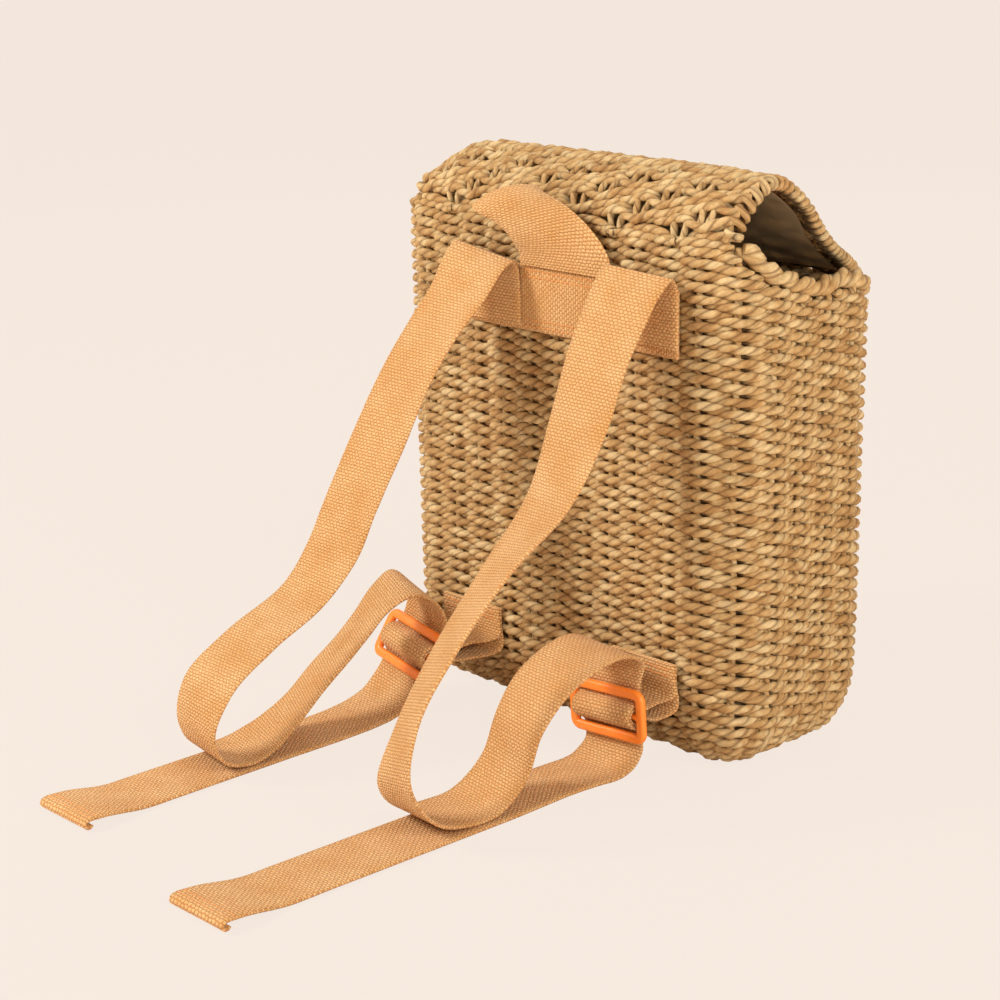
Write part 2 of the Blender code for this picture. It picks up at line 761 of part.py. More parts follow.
def build_side_stitching(side, collection):
    """Return the threads of one side: across the strap's hem and across the sewn tab."""
    half_run = WEBBING_WIDTH / 2 - STITCH_EDGE_INSET
    rows = strap_rows(side)
    hem = Vector(rows[-HEM_ROLL_STEPS - 1][:3])
    lift = Vector((0, 0, WEBBING_THICKNESS / 2 + GAP + THREAD_RADIUS))
    back = Vector((0, (HEM_FLAT_LENGTH - STITCH_LINE_SPACING) / 2 + STITCH_LINE_SPACING / 2, 0))
    line = [hem + lift - back + Vector((half_run * share, 0, 0)) for share in (-1, 0, 1)]
    path = there_and_back(line, Vector((0, STITCH_LINE_SPACING, 0)))
    tube("hem_stitching_" + side.name, path, THREAD_RADIUS, THREAD, collection, 1)
    face = BACK_FACE + 2 * (GAP + TAB_THICKNESS) + GAP + THREAD_RADIUS
    tab_x = STRAP_GROUP_OFFSET + side.tab_share * STRAP_SPACING
    height = TAB_TOP - STITCH_EDGE_INSET - STITCH_LINE_SPACING / 2
    line = [Vector((tab_x + half_run * share, face, height)) for share in (-1, 0, 1)]
    path = there_and_back(line, Vector((0, 0, STITCH_LINE_SPACING)))
    tube("tab_stitching_" + side.name, path, THREAD_RADIUS, THREAD, collection, 1)


def ribbon_mesh(name, stations):
    """Return the middle surface of a webbing strip.

    Args:
        name: The mesh's name.
        stations: Pairs of points, the strip's two edges from end to end.
    """
    rows = [[first, (first + second) / 2, second] for first, second in stations]
    return grid_mesh(name, rows, False, lambda centre: Vector((0, 0, 1)))


def edges_of(centre, lean_out, lean_up, width):
    """Return a strip's two edge points about its centre."""
    across = Vector((1, lean_out, lean_up)).normalized() * width / 2
    return centre - across, centre + across


def route_stations(rows, width, steps):
    """Return a webbing strip's stations along smoothed rows of centre, leans and width share."""
    stations = []
    for x, y, z, lean_out, lean_up, share in spline_rows(rows, steps):
        stations.append(edges_of(Vector((x, y, z)), lean_out, lean_up, width * share))
    return stations


def strap_rows(side):
    """Return a strap's rows in world sizes, from its sewn end through the buckle to its hem."""
    rows = [(STRAP_GROUP_OFFSET + across * STRAP_SPACING, BACK_FACE + out * LOOP_REACH,
             up * FOLD_HEIGHT, lean_out, lean_up, 1.0)
            for across, out, up, lean_out, lean_up in side.route]
    return rows + buckle_pass_rows(side) + tail_rows(side)


def ring_radii():
    """Return the radii of the tab's loop about the centre bar: inner, outer, and the strap's."""
    inner = hypot(BUCKLE_CENTRE_BAR / 2, BUCKLE_THICKNESS / 2) + GAP
    outer = inner + TAB_THICKNESS
    return inner, outer, outer + GAP + WEBBING_THICKNESS / 2


def buckle_pass_points():
    """Return the strap's path through the buckle as distances out of and up its plane.

    The strap passes behind the upper bar, over the tab's loop on the centre bar, and behind the
    lower bar.
    """
    _, _, front_radius = ring_radii()
    back_radius = BUCKLE_BEVEL + GAP + BUCKLE_PLAY + WEBBING_THICKNESS / 2
    corner_out = BUCKLE_BEVEL - BUCKLE_THICKNESS / 2
    corner_up = BUCKLE_CENTRE_BAR / 2 + BUCKLE_SLOT + BUCKLE_BEVEL
    apart = hypot(corner_out, corner_up)
    crossing = acos((front_radius + back_radius) / apart) + atan2(-corner_out, corner_up)
    back = corner_out - back_radius
    turn = pi / 2 - crossing
    upper = [(back, BUCKLE_HEIGHT / 2), (back, (BUCKLE_HEIGHT / 2 + corner_up) / 2)]
    for step in range(3):
        angle = pi + turn * step / 2
        upper.append((corner_out + back_radius * cos(angle), corner_up + back_radius * sin(angle)))
    front = [(front_radius * cos(turn * share), front_radius * sin(turn * share))
             for share in (1, 0.5, 0)]
    half = upper + front
    lower = [(out, -up) for out, up in reversed(half[:-1])]
    foot = -BUCKLE_HEIGHT / 2 - WEBBING_THICKNESS
    return half + lower + [(back, foot)]


def buckle_pass_rows(side):
    """Return the strap's rows through its buckle, in world sizes."""
    return [(*side.place(out, up), *side.leans(), 1.0) for out, up in buckle_pass_points()]


def build_strap(side, collection):
    """Return a shoulder strap, one length of webbing from its sewn end to its folded hem."""
    name = "shoulder_strap_" + side.name
    stations = route_stations(strap_rows(side), WEBBING_WIDTH, 2)
    strap = add_mesh(name, ribbon_mesh(name, stations), WEBBING, collection)
    thicken(strap, WEBBING_THICKNESS, 0)
    return strap


def tail_rows(side):
    """Return a tail's rows, from under its buckle down to the floor and out to its rolled hem."""
    out, up = buckle_pass_points()[-1]
    lean_out, lean_up = side.leans()
    start = side.place(out, up - WEBBING_THICKNESS)
    floor = WEBBING_THICKNESS / 2 + GAP
    hem_x = STRAP_GROUP_OFFSET + side.hem_share * STRAP_SPACING
    end_y = start.y + side.reach
    rows = [(*start, lean_out, lean_up, 1.0)]
    for share, height_share in ((0.22, 0.36), (0.45, 0.12), (0.72, 0.02), (1.0, 0.0)):
        fade = height_share ** 2
        rows.append((start.x + (hem_x - start.x) * share * 0.6, start.y + side.settle * share,
                     floor + (start.z - floor) * height_share, lean_out * fade, lean_up * fade,
                     1.0 + (TAIL_WIDTH_SHARE - 1.0) * share))
    settled_x, settled_y = rows[-1][:2]
    run = end_y - settled_y
    roll = floor + 2 * HEM_ROLL_RADIUS
    flat_share = 1 - HEM_FLAT_LENGTH / run
    lift_share = flat_share - HEM_LIFT_LENGTH / run
    for share, height, width_share in (
            (lift_share / 3, floor, TAIL_WIDTH_SHARE), (lift_share * 0.9, floor, TAIL_WIDTH_SHARE),
            (lift_share, floor, TAIL_WIDTH_SHARE), (flat_share, roll, 1.0), (1.0, roll, 1.0)):
        rows.append((settled_x + (hem_x - settled_x) * share, settled_y + run * share, height,
                     0.0, 0.0, width_share))
    for step in range(1, HEM_ROLL_STEPS + 1):
        angle = radians(90) - radians(250) * step / HEM_ROLL_STEPS
        rows.append((hem_x, end_y + HEM_ROLL_RADIUS * cos(angle),
                     floor + HEM_ROLL_RADIUS * (1 + sin(angle)), 0.0, 0.0, 1.0))
    return rows


def build_hang_loop(collection, pivot):
    """Return the hang loop, which stands on the patch's top edge and leans to the wearer's right."""
    stations = []
    top = PATCH_TOP + GAP
    for across, out, up, lean_out, lean_up, width in spline_rows(HANG_LOOP_SHARES, 2):
        centre = Vector((HANG_LOOP_MIDDLE + across * WEBBING_WIDTH,
                         BACK_FACE + out * HANG_LOOP_REACH, top + up * HANG_LOOP_HEIGHT))
        stations.append(edges_of(centre, lean_out, lean_up, WEBBING_WIDTH * width))
    loop = add_mesh("hang_loop", ribbon_mesh("hang_loop", stations), WEBBING, collection)
    thicken(loop, WEBBING_THICKNESS, 0)
    hang_on(loop, pivot)
    return loop


def tab_stations(side):
    """Return a tab's stations: sewn to the wall, round the buckle's centre bar and back."""
    inner, outer, _ = ring_radii()
    radius = (inner + outer) / 2
    lean_out, lean_up = side.leans()
    centre = side.centre()
    first = BACK_FACE + GAP + TAB_THICKNESS / 2
    second = first + TAB_THICKNESS + GAP
    tab_x = STRAP_GROUP_OFFSET + side.tab_share * STRAP_SPACING
    wall = centre.z + radius
    rows = [(tab_x, first, TAB_TOP, 0.0, 0.0, TAB_WIDTH),
            (tab_x, first, (TAB_TOP + TAB_BOTTOM) / 2, 0.0, 0.0, TAB_WIDTH),
            (tab_x, first + GAP, wall - radius * 0.6, 0.0, 0.0, TAB_WIDTH)]
    reach = (centre.y - first) / 2
    rows.append(((tab_x + centre.x) / 2, first + reach * 0.7, centre.z - radius * 0.95,
                 lean_out / 2, lean_up / 2, TAB_LOOP_WIDTH))
    for step in range(9):
        angle = radians(-140) + radians(280) * step / 8
        spot = side.place(radius * cos(angle), radius * sin(angle))
        rows.append((*spot, lean_out, lean_up, TAB_LOOP_WIDTH))
    rows.append(((tab_x + centre.x) / 2, second + reach * 0.62, wall + radius * 0.45,
                 lean_out / 2, lean_up / 2, TAB_LOOP_WIDTH))
    rows.append((tab_x, second + GAP, wall + radius * 1.6, 0.0, 0.0, TAB_WIDTH))
    rows.append((tab_x, second, TAB_TOP - (TAB_TOP - TAB_BOTTOM) * 0.25, 0.0, 0.0, TAB_WIDTH))
    rows.append((tab_x, second, TAB_TOP, 0.0, 0.0, TAB_WIDTH))
    stations = []
    for x, y, z, row_out, row_up, width in spline_rows(rows, 2):
        stations.append(edges_of(Vector((x, y, z)), row_out, row_up, width))
    return stations


def build_tab(side, collection):
    """Return the short webbing tab that holds a buckle to the lower back wall."""
    name = "lower_tab_" + side.name
    tab = add_mesh(name, ribbon_mesh(name, tab_stations(side)), WEBBING, collection)
    thicken(tab, TAB_THICKNESS, 0)
    return tab


def rounded_outline(width, height, radius, steps):
    """Return the points of a rectangle with round corners about the origin."""
    x = width / 2 - radius
    y = height / 2 - radius
    corners = ((x, y, 0), (-x, y, pi / 2), (-x, -y, pi), (x, -y, 3 * pi / 2))
    points = []
    for centre_x, centre_y, start in corners:
        points += [(centre_x + radius * cos(start + pi / 2 * step / steps),
                    centre_y + radius * sin(start + pi / 2 * step / steps))
                   for step in range(steps + 1)]
    return points


def build_buckle(side, collection, pivot):
    """Return a plastic buckle: a round-cornered frame with a centre bar."""
    name = "buckle_" + side.name
    curve = bpy.data.curves.new(name, "CURVE")
    curve.dimensions = "2D"
    curve.fill_mode = "BOTH"
    curve.extrude = BUCKLE_THICKNESS / 2 - BUCKLE_BEVEL
    curve.bevel_depth = BUCKLE_BEVEL
    curve.bevel_resolution = 1
    slot_width = BUCKLE_WIDTH - 2 * BUCKLE_RAIL
    slot_middle = (BUCKLE_SLOT + BUCKLE_CENTRE_BAR) / 2
    outer = rounded_outline(BUCKLE_WIDTH - 2 * BUCKLE_BEVEL, BUCKLE_HEIGHT - 2 * BUCKLE_BEVEL,
                            BUCKLE_CORNER_RADIUS - BUCKLE_BEVEL, 4)
    slot = rounded_outline(slot_width + 2 * BUCKLE_BEVEL, BUCKLE_SLOT + 2 * BUCKLE_BEVEL,
                           BUCKLE_BEVEL, 2)
    outlines = [(outer, 0)]
    outlines += [(slot, slot_middle), (slot, -slot_middle)]
    for points, shift in outlines:
        line = curve.splines.new("POLY")
        line.points.add(len(points) - 1)
        line.use_cyclic_u = True
        for spot, (x, y) in zip(line.points, points):
            spot.co = (x, y + shift, 0, 1)
    drawn = bpy.data.objects.new(name + "_outline", curve)
    collection.objects.link(drawn)
    bpy.context.view_layer.update()
    evaluated = drawn.evaluated_get(bpy.context.evaluated_depsgraph_get())
    mesh = bpy.data.meshes.new_from_object(evaluated)
    bpy.data.objects.remove(drawn, do_unlink=True)
    mesh.name = name
    shape = bmesh.new()
    shape.from_mesh(mesh)
    bmesh.ops.remove_doubles(shape, verts=shape.verts, dist=BUCKLE_BAR / 3000)
    across, outward, upward = side.axes()
    stand = Matrix((across, upward, -outward)).transposed().to_4x4()
    bmesh.ops.transform(shape, matrix=Matrix.Translation(side.centre()) @ stand, verts=shape.verts)
    bmesh.ops.recalc_face_normals(shape, faces=shape.faces)
    shape.to_mesh(mesh)
    shape.free()
    buckle = add_mesh(name, mesh, ORANGE_PLASTIC, collection)
    hang_on(buckle, pivot)
    return buckle


def make_pivot(name, place, collection):
    """Return an empty that stands on a joint's axis."""
    pivot = bpy.data.objects.new(name, None)
    pivot.location = place
    collection.objects.link(pivot)
    return pivot


def hang_on(obj, pivot):
    """Parent an object to a pivot and keep it where it was modelled."""
    obj.parent = pivot
    obj.matrix_parent_inverse = Matrix.Translation(pivot.location).inverted()


def loop_hinge():
    """Return the point about which the hang loop swings: its outer face at the patch's top edge."""
    first = HANG_LOOP_SHARES[0][1]
    face = BACK_FACE + first * HANG_LOOP_REACH + WEBBING_THICKNESS / 2
    return Vector((STRAP_GROUP_OFFSET, face, PATCH_TOP + GAP))


def main():
    """Build the pack basket."""
    clear_scene()
    collection = make_collection("pack_basket")
    lid_pivot = make_pivot("lid_pivot", Vector((0, BACK_FACE, HINGE_HEIGHT)), collection)
    loop_pivot = make_pivot("hang_loop_pivot", loop_hinge(), collection)
    build_wall(collection)
    build_base(collection)
    build_rim(collection)
    build_lining(collection)
    build_lid(collection, lid_pivot)
    build_lid_edge(collection, lid_pivot)
    build_lid_lining(collection, lid_pivot)
    build_patch(collection)
    build_patch_stitching(collection)
    build_hang_loop(collection, loop_pivot)
    for side in (LEFT_SIDE, RIGHT_SIDE):
        buckle_pivot = make_pivot("buckle_pivot_" + side.name, side.centre(), collection)
        build_strap(side, collection)
        build_tab(side, collection)
        build_side_stitching(side, collection)
        build_buckle(side, collection, buckle_pivot)


main()
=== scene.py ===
"""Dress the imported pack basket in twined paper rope, cotton lining, webbing and moulded plastic.

The body, its base and the lid are woven strand by strand. The straps, the tabs, the hang loop and the
patch are woven webbing, and the buckles are moulded plastic.
"""

import logging
from dataclasses import dataclass, field
from enum import Enum
from math import acos, atan2, ceil, cos, hypot, pi, radians, sin
from typing import Any

import bmesh
import bpy
import numpy as np
from mathutils import Matrix, Vector

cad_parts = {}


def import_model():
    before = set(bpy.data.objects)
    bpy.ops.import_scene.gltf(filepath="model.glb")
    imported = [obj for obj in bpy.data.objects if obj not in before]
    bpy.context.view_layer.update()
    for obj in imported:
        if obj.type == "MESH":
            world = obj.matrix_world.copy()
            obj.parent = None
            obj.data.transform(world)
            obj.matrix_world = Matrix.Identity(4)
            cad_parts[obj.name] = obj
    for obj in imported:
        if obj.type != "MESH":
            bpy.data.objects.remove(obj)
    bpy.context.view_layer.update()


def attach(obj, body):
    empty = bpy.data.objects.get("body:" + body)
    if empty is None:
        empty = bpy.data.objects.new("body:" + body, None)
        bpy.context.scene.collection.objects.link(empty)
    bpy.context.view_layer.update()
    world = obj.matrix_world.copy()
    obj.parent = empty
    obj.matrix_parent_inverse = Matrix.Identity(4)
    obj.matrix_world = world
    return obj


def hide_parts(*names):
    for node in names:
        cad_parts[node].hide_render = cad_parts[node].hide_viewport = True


MM = 0.001
LOG = logging.getLogger("pack_basket")
Array = np.ndarray
Rows = list[tuple[float, ...]]


class Body(Enum):
    """The CAD bodies that the pieces ride on."""

    BASKET = "basket"
    LID = "lid"
    HANG_LOOP = "hang_loop"
    BUCKLE_LEFT = "buckle_left"
    BUCKLE_RIGHT = "buckle_right"


class Slot(Enum):
    """The record's material slots."""

    ROPE = "rope"
    BORDER = "border_rope"
    WEBBING = "webbing"
    THREAD = "thread"
    LINING = "lining"
    BUCKLE = "buckle"


def srgb(code: str) -> tuple[float, float, float, float]:
    """Turn an sRGB hex value into a linear colour.

    Args:
        code: Six hex digits.

    Returns:
        The linear red, green and blue, and full alpha.
    """
    parts = [int(code[place:place + 2], 16) / 255 for place in (0, 2, 4)]
    red, green, blue = [part / 12.92 if part <= 0.04045 else ((part + 0.055) / 1.055) ** 2.4
                        for part in parts]
    return red, green, blue, 1.0


def add_node(tree: bpy.types.NodeTree, kind: str, inputs: dict[Any, Any] | None = None,
             **settings: Any) -> bpy.types.Node:
    """Add a node with its settings and links.

    Args:
        tree: The node tree.
        kind: The node's type.
        inputs: A value, or the socket that it is linked from, for each input by name or number.
        settings: The node's own settings.

    Returns:
        The new node.
    """
    node = tree.nodes.new(kind)
    for name, value in settings.items():
        setattr(node, name, value)
    for key, value in (inputs or {}).items():
        if isinstance(value, bpy.types.NodeSocket):
            tree.links.new(value, node.inputs[key])
        else:
            node.inputs[key].default_value = value
    return node


def new_material(name: str) -> tuple[bpy.types.Material, bpy.types.Node]:
    """Start a material.

    Args:
        name: The material's name.

    Returns:
        The material and its Principled shader.
    """
    material = bpy.data.materials.new(name)
    material.use_nodes = True
    return material, material.node_tree.nodes["Principled BSDF"]


@dataclass(frozen=True)
class PaperRopeFinish:
    """Twisted paper rope: two plies of kraft paper yarn, dull, with fine creases along each ply. Its
    colour carries painted shade in the crease hollows, in the grooves between the plies and where a
    strand lies behind a stake, and a little painted highlight on the crease crests.
    """

    name: str = "twisted_paper_rope"
    light: str = "D4BC8D"
    middle: str = "BF9D6A"
    shade: str = "AC8655"
    # Colour of the painted shade in the grooves between the plies.
    groove: str = "5C3A1C"
    # Colour of the painted shade where a strand lies behind a stake.
    inner: str = "2E1A0A"
    crease_length_mm: float = 4.0
    creases_round: float = 1.7

    def material(self) -> bpy.types.Material:
        """Build the rope's material."""
        material, shader = new_material(self.name)
        tree = material.node_tree
        place = add_node(tree, "ShaderNodeTexCoord").outputs["Object"]
        groove = add_node(tree, "ShaderNodeAttribute", attribute_name="groove").outputs["Fac"]
        side = add_node(tree, "ShaderNodeAttribute", attribute_name="side").outputs["Vector"]
        run = add_node(tree, "ShaderNodeAttribute", attribute_name="run").outputs["Fac"]
        along = add_node(tree, "ShaderNodeMath", {0: run, 1: 1 / (self.crease_length_mm * MM)},
                         operation="MULTIPLY")
        up = add_node(tree, "ShaderNodeCombineXYZ", {2: along.outputs[0]})
        lay = add_node(tree, "ShaderNodeVectorMath",
                       {0: side, 1: (self.creases_round,) * 3, 2: up.outputs[0]},
                       operation="MULTIPLY_ADD")
        yarn = add_node(tree, "ShaderNodeTexNoise",
                        {"W": run, "Scale": 1 / (15 * MM), "Detail": 2.0},
                        noise_dimensions="1D")
        flecks = add_node(tree, "ShaderNodeTexNoise",
                          {"Vector": place, "Scale": 1 / (3.2 * MM), "Detail": 4.0})
        creases = add_node(tree, "ShaderNodeTexNoise",
                           {"Vector": lay.outputs[0], "Scale": 1.0, "Detail": 3.0,
                            "Roughness": 0.6})
        tone = add_node(tree, "ShaderNodeMath", {0: flecks.outputs["Fac"], 1: 0.6,
                                                 2: yarn.outputs["Fac"]},
                        operation="MULTIPLY_ADD")
        ramp = add_node(tree, "ShaderNodeValToRGB", {"Fac": tone.outputs[0]})
        ramp.color_ramp.elements[0].position = 0.58
        ramp.color_ramp.elements[0].color = srgb(self.shade)
        ramp.color_ramp.elements[1].position = 0.98
        ramp.color_ramp.elements[1].color = srgb(self.light)
        middle = ramp.color_ramp.elements.new(0.76)
        middle.color = srgb(self.middle)
        # Painted shade and highlight: the colour is darker where the crease bump is low and a little
        # lighter on its crests.
        painted_crease_shade = add_node(tree, "ShaderNodeMapRange",
                           {"Value": creases.outputs["Fac"], "From Min": 0.3, "From Max": 0.62,
                            "To Min": 0.74, "To Max": 1.06})
        shaded = add_node(tree, "ShaderNodeVectorMath",
                          {0: ramp.outputs["Color"], "Scale": painted_crease_shade.outputs[0]},
                          operation="SCALE")
        # Painted shade in the grooves between the plies, strongest deepest in the groove.
        narrow = add_node(tree, "ShaderNodeMath", {0: groove, 1: 4.0}, operation="POWER")
        depth = add_node(tree, "ShaderNodeMath", {0: narrow.outputs[0], 1: 0.75},
                         operation="MULTIPLY")
        with_groove_shade = add_node(tree, "ShaderNodeMix",
                           {0: depth.outputs[0], 6: shaded.outputs[0], 7: srgb(self.groove)},
                           data_type="RGBA")
        # Painted shade where a strand lies behind a stake, darkest where it lies deepest.
        behind = add_node(tree, "ShaderNodeAttribute", attribute_name="behind").outputs["Fac"]
        painted_behind_shade = add_node(tree, "ShaderNodeMapRange",
                        {"Value": behind, "From Min": 0.84, "From Max": 0.97, "To Max": 0.85})
        colour = add_node(tree, "ShaderNodeMix",
                          {0: painted_behind_shade.outputs[0], 6: with_groove_shade.outputs[2], 7: srgb(self.inner)},
                          data_type="RGBA")
        bump = add_node(tree, "ShaderNodeBump",
                        {"Strength": 0.8, "Distance": 0.5 * MM,
                         "Height": creases.outputs["Fac"]})
        tree.links.new(colour.outputs[2], shader.inputs["Base Color"])
        tree.links.new(bump.outputs[0], shader.inputs["Normal"])
        shader.inputs["Roughness"].default_value = 0.78
        shader.inputs["Specular IOR Level"].default_value = 0.28
        return material


@dataclass(frozen=True)
class WebbingFinish:
    """Cotton webbing: a tight plain weave whose warp stands up in short rows, dyed amber. Its colour
    is darker in the hollows between the raised rows, which is painted shade.
    """

    name: str = "cotton_webbing"
    light: str = "E7C088"
    middle: str = "D8A868"
    # Colour of the painted shade in the hollows between the raised rows.
    shade: str = "A8622A"
    bump_length_mm: float = 2.3
    bump_width_mm: float = 1.45

    def material(self) -> bpy.types.Material:
        """Build the webbing's material."""
        material, shader = new_material(self.name)
        tree = material.node_tree
        place = add_node(tree, "ShaderNodeTexCoord").outputs["Object"]
        cloth = add_node(tree, "ShaderNodeAttribute", attribute_name="cloth").outputs["Vector"]
        loose = add_node(tree, "ShaderNodeTexNoise",
                         {"Vector": cloth, "Scale": 0.45, "Detail": 1.0})
        bent = add_node(tree, "ShaderNodeVectorMath",
                        {0: loose.outputs["Color"], 1: (1.0, 1.6, 0.0), 2: cloth},
                        operation="MULTIPLY_ADD")
        parts = add_node(tree, "ShaderNodeSeparateXYZ", {0: bent.outputs[0]})
        picks = add_node(tree, "ShaderNodeMath",
                         {0: parts.outputs[0], 1: 1 / self.bump_width_mm}, operation="MULTIPLY")
        pick = add_node(tree, "ShaderNodeMath", {0: picks.outputs[0]}, operation="FLOOR")
        stagger = add_node(tree, "ShaderNodeMath", {0: pick.outputs[0], 1: pi / 2},
                           operation="MULTIPLY")
        rows = add_node(tree, "ShaderNodeMath", {0: picks.outputs[0], 1: pi},
                        operation="MULTIPLY")
        along = add_node(tree, "ShaderNodeMath",
                         {0: parts.outputs[1], 1: pi / self.bump_length_mm,
                          2: stagger.outputs[0]}, operation="MULTIPLY_ADD")
        waves = [add_node(tree, "ShaderNodeMath", {0: wave.outputs[0]}, operation="SINE")
                 for wave in (along, rows)]
        seeds = add_node(tree, "ShaderNodeMath",
                         {0: waves[0].outputs[0], 1: waves[1].outputs[0]}, operation="MULTIPLY")
        raised = add_node(tree, "ShaderNodeMath", {0: seeds.outputs[0]}, operation="ABSOLUTE")
        wear = add_node(tree, "ShaderNodeTexNoise",
                        {"Vector": place, "Scale": 1 / (18 * MM), "Detail": 3.0})
        fibres = add_node(tree, "ShaderNodeTexNoise",
                          {"Vector": cloth, "Scale": 2.6, "Detail": 3.0})
        tone = add_node(tree, "ShaderNodeMath",
                        {0: fibres.outputs["Fac"], 1: 0.5, 2: wear.outputs["Fac"]},
                        operation="MULTIPLY_ADD")
        ramp = add_node(tree, "ShaderNodeValToRGB", {"Fac": tone.outputs[0]})
        ramp.color_ramp.elements[0].position = 0.5
        ramp.color_ramp.elements[0].color = srgb(self.middle)
        ramp.color_ramp.elements[1].position = 0.95
        ramp.color_ramp.elements[1].color = srgb(self.light)
        # Painted shade: the colour goes to the shade colour where the raised rows are low.
        between = add_node(tree, "ShaderNodeMapRange",
                           {"Value": raised.outputs[0], "From Max": 0.55, "To Min": 0.75,
                            "To Max": 0.0})
        colour = add_node(tree, "ShaderNodeMix",
                          {0: between.outputs[0], 6: ramp.outputs["Color"], 7: srgb(self.shade)},
                          data_type="RGBA")
        height = add_node(tree, "ShaderNodeMath",
                          {0: fibres.outputs["Fac"], 1: 0.5, 2: raised.outputs[0]},
                          operation="MULTIPLY_ADD")
        bump = add_node(tree, "ShaderNodeBump",
                        {"Strength": 1.0, "Distance": 0.5 * MM, "Height": height.outputs[0]})
        tree.links.new(colour.outputs[2], shader.inputs["Base Color"])
        tree.links.new(bump.outputs[0], shader.inputs["Normal"])
        shader.inputs["Roughness"].default_value = 0.85
        shader.inputs["Specular IOR Level"].default_value = 0.2
        shader.inputs["Sheen Weight"].default_value = 0.12
        return material


@dataclass(frozen=True)
class LiningFinish:
    """Cotton lining: fine plain calico, dyed olive, matt and faintly slubbed."""

    name: str = "cotton_lining"
    colour: str = "E6CFA6"
    shade: str = "C8B084"

    def material(self) -> bpy.types.Material:
        """Build the lining's material."""
        material, shader = new_material(self.name)
        tree = material.node_tree
        place = add_node(tree, "ShaderNodeTexCoord").outputs["Object"]
        slubs = add_node(tree, "ShaderNodeTexNoise",
                         {"Vector": place, "Scale": 1 / (9 * MM), "Detail": 4.0})
        threads = add_node(tree, "ShaderNodeTexNoise",
                           {"Vector": place, "Scale": 1 / (0.7 * MM), "Detail": 2.0})
        tone = add_node(tree, "ShaderNodeMix",
                        {0: slubs.outputs["Fac"], 6: srgb(self.shade), 7: srgb(self.colour)},
                        data_type="RGBA")
        bump = add_node(tree, "ShaderNodeBump",
                        {"Strength": 0.5, "Distance": 0.25 * MM,
                         "Height": threads.outputs["Fac"]})
        tree.links.new(tone.outputs[2], shader.inputs["Base Color"])
        tree.links.new(bump.outputs[0], shader.inputs["Normal"])
        shader.inputs["Roughness"].default_value = 0.9
        shader.inputs["Sheen Weight"].default_value = 0.15
        return material


@dataclass(frozen=True)
class ThreadFinish:
    """Polyester sewing thread: smooth, in the webbing's own colour a little darker."""

    name: str = "sewing_thread"
    colour: str = "CE8340"

    def material(self) -> bpy.types.Material:
        """Build the thread's material."""
        material, shader = new_material(self.name)
        tree = material.node_tree
        place = add_node(tree, "ShaderNodeTexCoord").outputs["Object"]
        twist = add_node(tree, "ShaderNodeTexNoise",
                         {"Vector": place, "Scale": 1 / (0.5 * MM), "Detail": 2.0})
        tone = add_node(tree, "ShaderNodeMix",
                        {0: twist.outputs["Fac"], 6: srgb(self.colour), 7: srgb("E6A25E")},
                        data_type="RGBA")
        tree.links.new(tone.outputs[2], shader.inputs["Base Color"])
        shader.inputs["Roughness"].default_value = 0.6
        return material


@dataclass(frozen=True)
class MouldedPlasticFinish:
    """Moulded acetal: a glossy orange skin with the faint orange peel of the mould."""

    name: str = "orange_acetal"
    colour: str = "FF9A3C"
    shade: str = "FF8428"

    def material(self) -> bpy.types.Material:
        """Build the plastic's material."""
        material, shader = new_material(self.name)
        tree = material.node_tree
        place = add_node(tree, "ShaderNodeTexCoord").outputs["Object"]
        swirl = add_node(tree, "ShaderNodeTexNoise",
                         {"Vector": place, "Scale": 1 / (8 * MM), "Detail": 2.0})
        peel = add_node(tree, "ShaderNodeTexNoise", {"Vector": place, "Scale": 1 / (1.2 * MM)})
        tone = add_node(tree, "ShaderNodeMix",
                        {0: swirl.outputs["Fac"], 6: srgb(self.shade), 7: srgb(self.colour)},
                        data_type="RGBA")
        gloss = add_node(tree, "ShaderNodeMapRange",
                         {"Value": swirl.outputs["Fac"], "To Min": 0.26, "To Max": 0.38})
        bump = add_node(tree, "ShaderNodeBump",
                        {"Strength": 0.08, "Distance": 0.1 * MM, "Height": peel.outputs["Fac"]})
        tree.links.new(tone.outputs[2], shader.inputs["Base Color"])
        tree.links.new(gloss.outputs[0], shader.inputs["Roughness"])
        tree.links.new(bump.outputs[0], shader.inputs["Normal"])
        shader.inputs["IOR"].default_value = 1.48
        shader.inputs["Subsurface Weight"].default_value = 0.1
        shader.inputs["Subsurface Scale"].default_value = 1.5 * MM
        return material


def smooth_step(value: Any) -> Any:
    """Blend from 0 to 1 in an S shape, for a value held between 0 and 1."""
    held = np.clip(value, 0.0, 1.0)
    return held * held * (3 - 2 * held)


def unit(vectors: Array) -> Array:
    """Scale vectors to a length of one."""
    return vectors / np.maximum(np.linalg.norm(vectors, axis=-1, keepdims=True), 1e-12)


def wander(places: Array, seed: int, size: float, waves: int = 5) -> Array:
    """Draw a smooth irregular line, as handwork gives.

    Args:
        places: Distances, in turns of the slowest wave.
        seed: The line's own number.
        size: How far it strays.
        waves: How many waves it is made of.

    Returns:
        The stray at each place.
    """
    chance = np.random.default_rng(seed)
    total = np.zeros_like(places)
    for wave in range(1, waves + 1):
        total = total + np.sin(2 * pi * wave * places + chance.uniform(0, 2 * pi)) \
            * chance.uniform(0.4, 1.0) / wave ** 0.5
    return size * total / waves ** 0.5


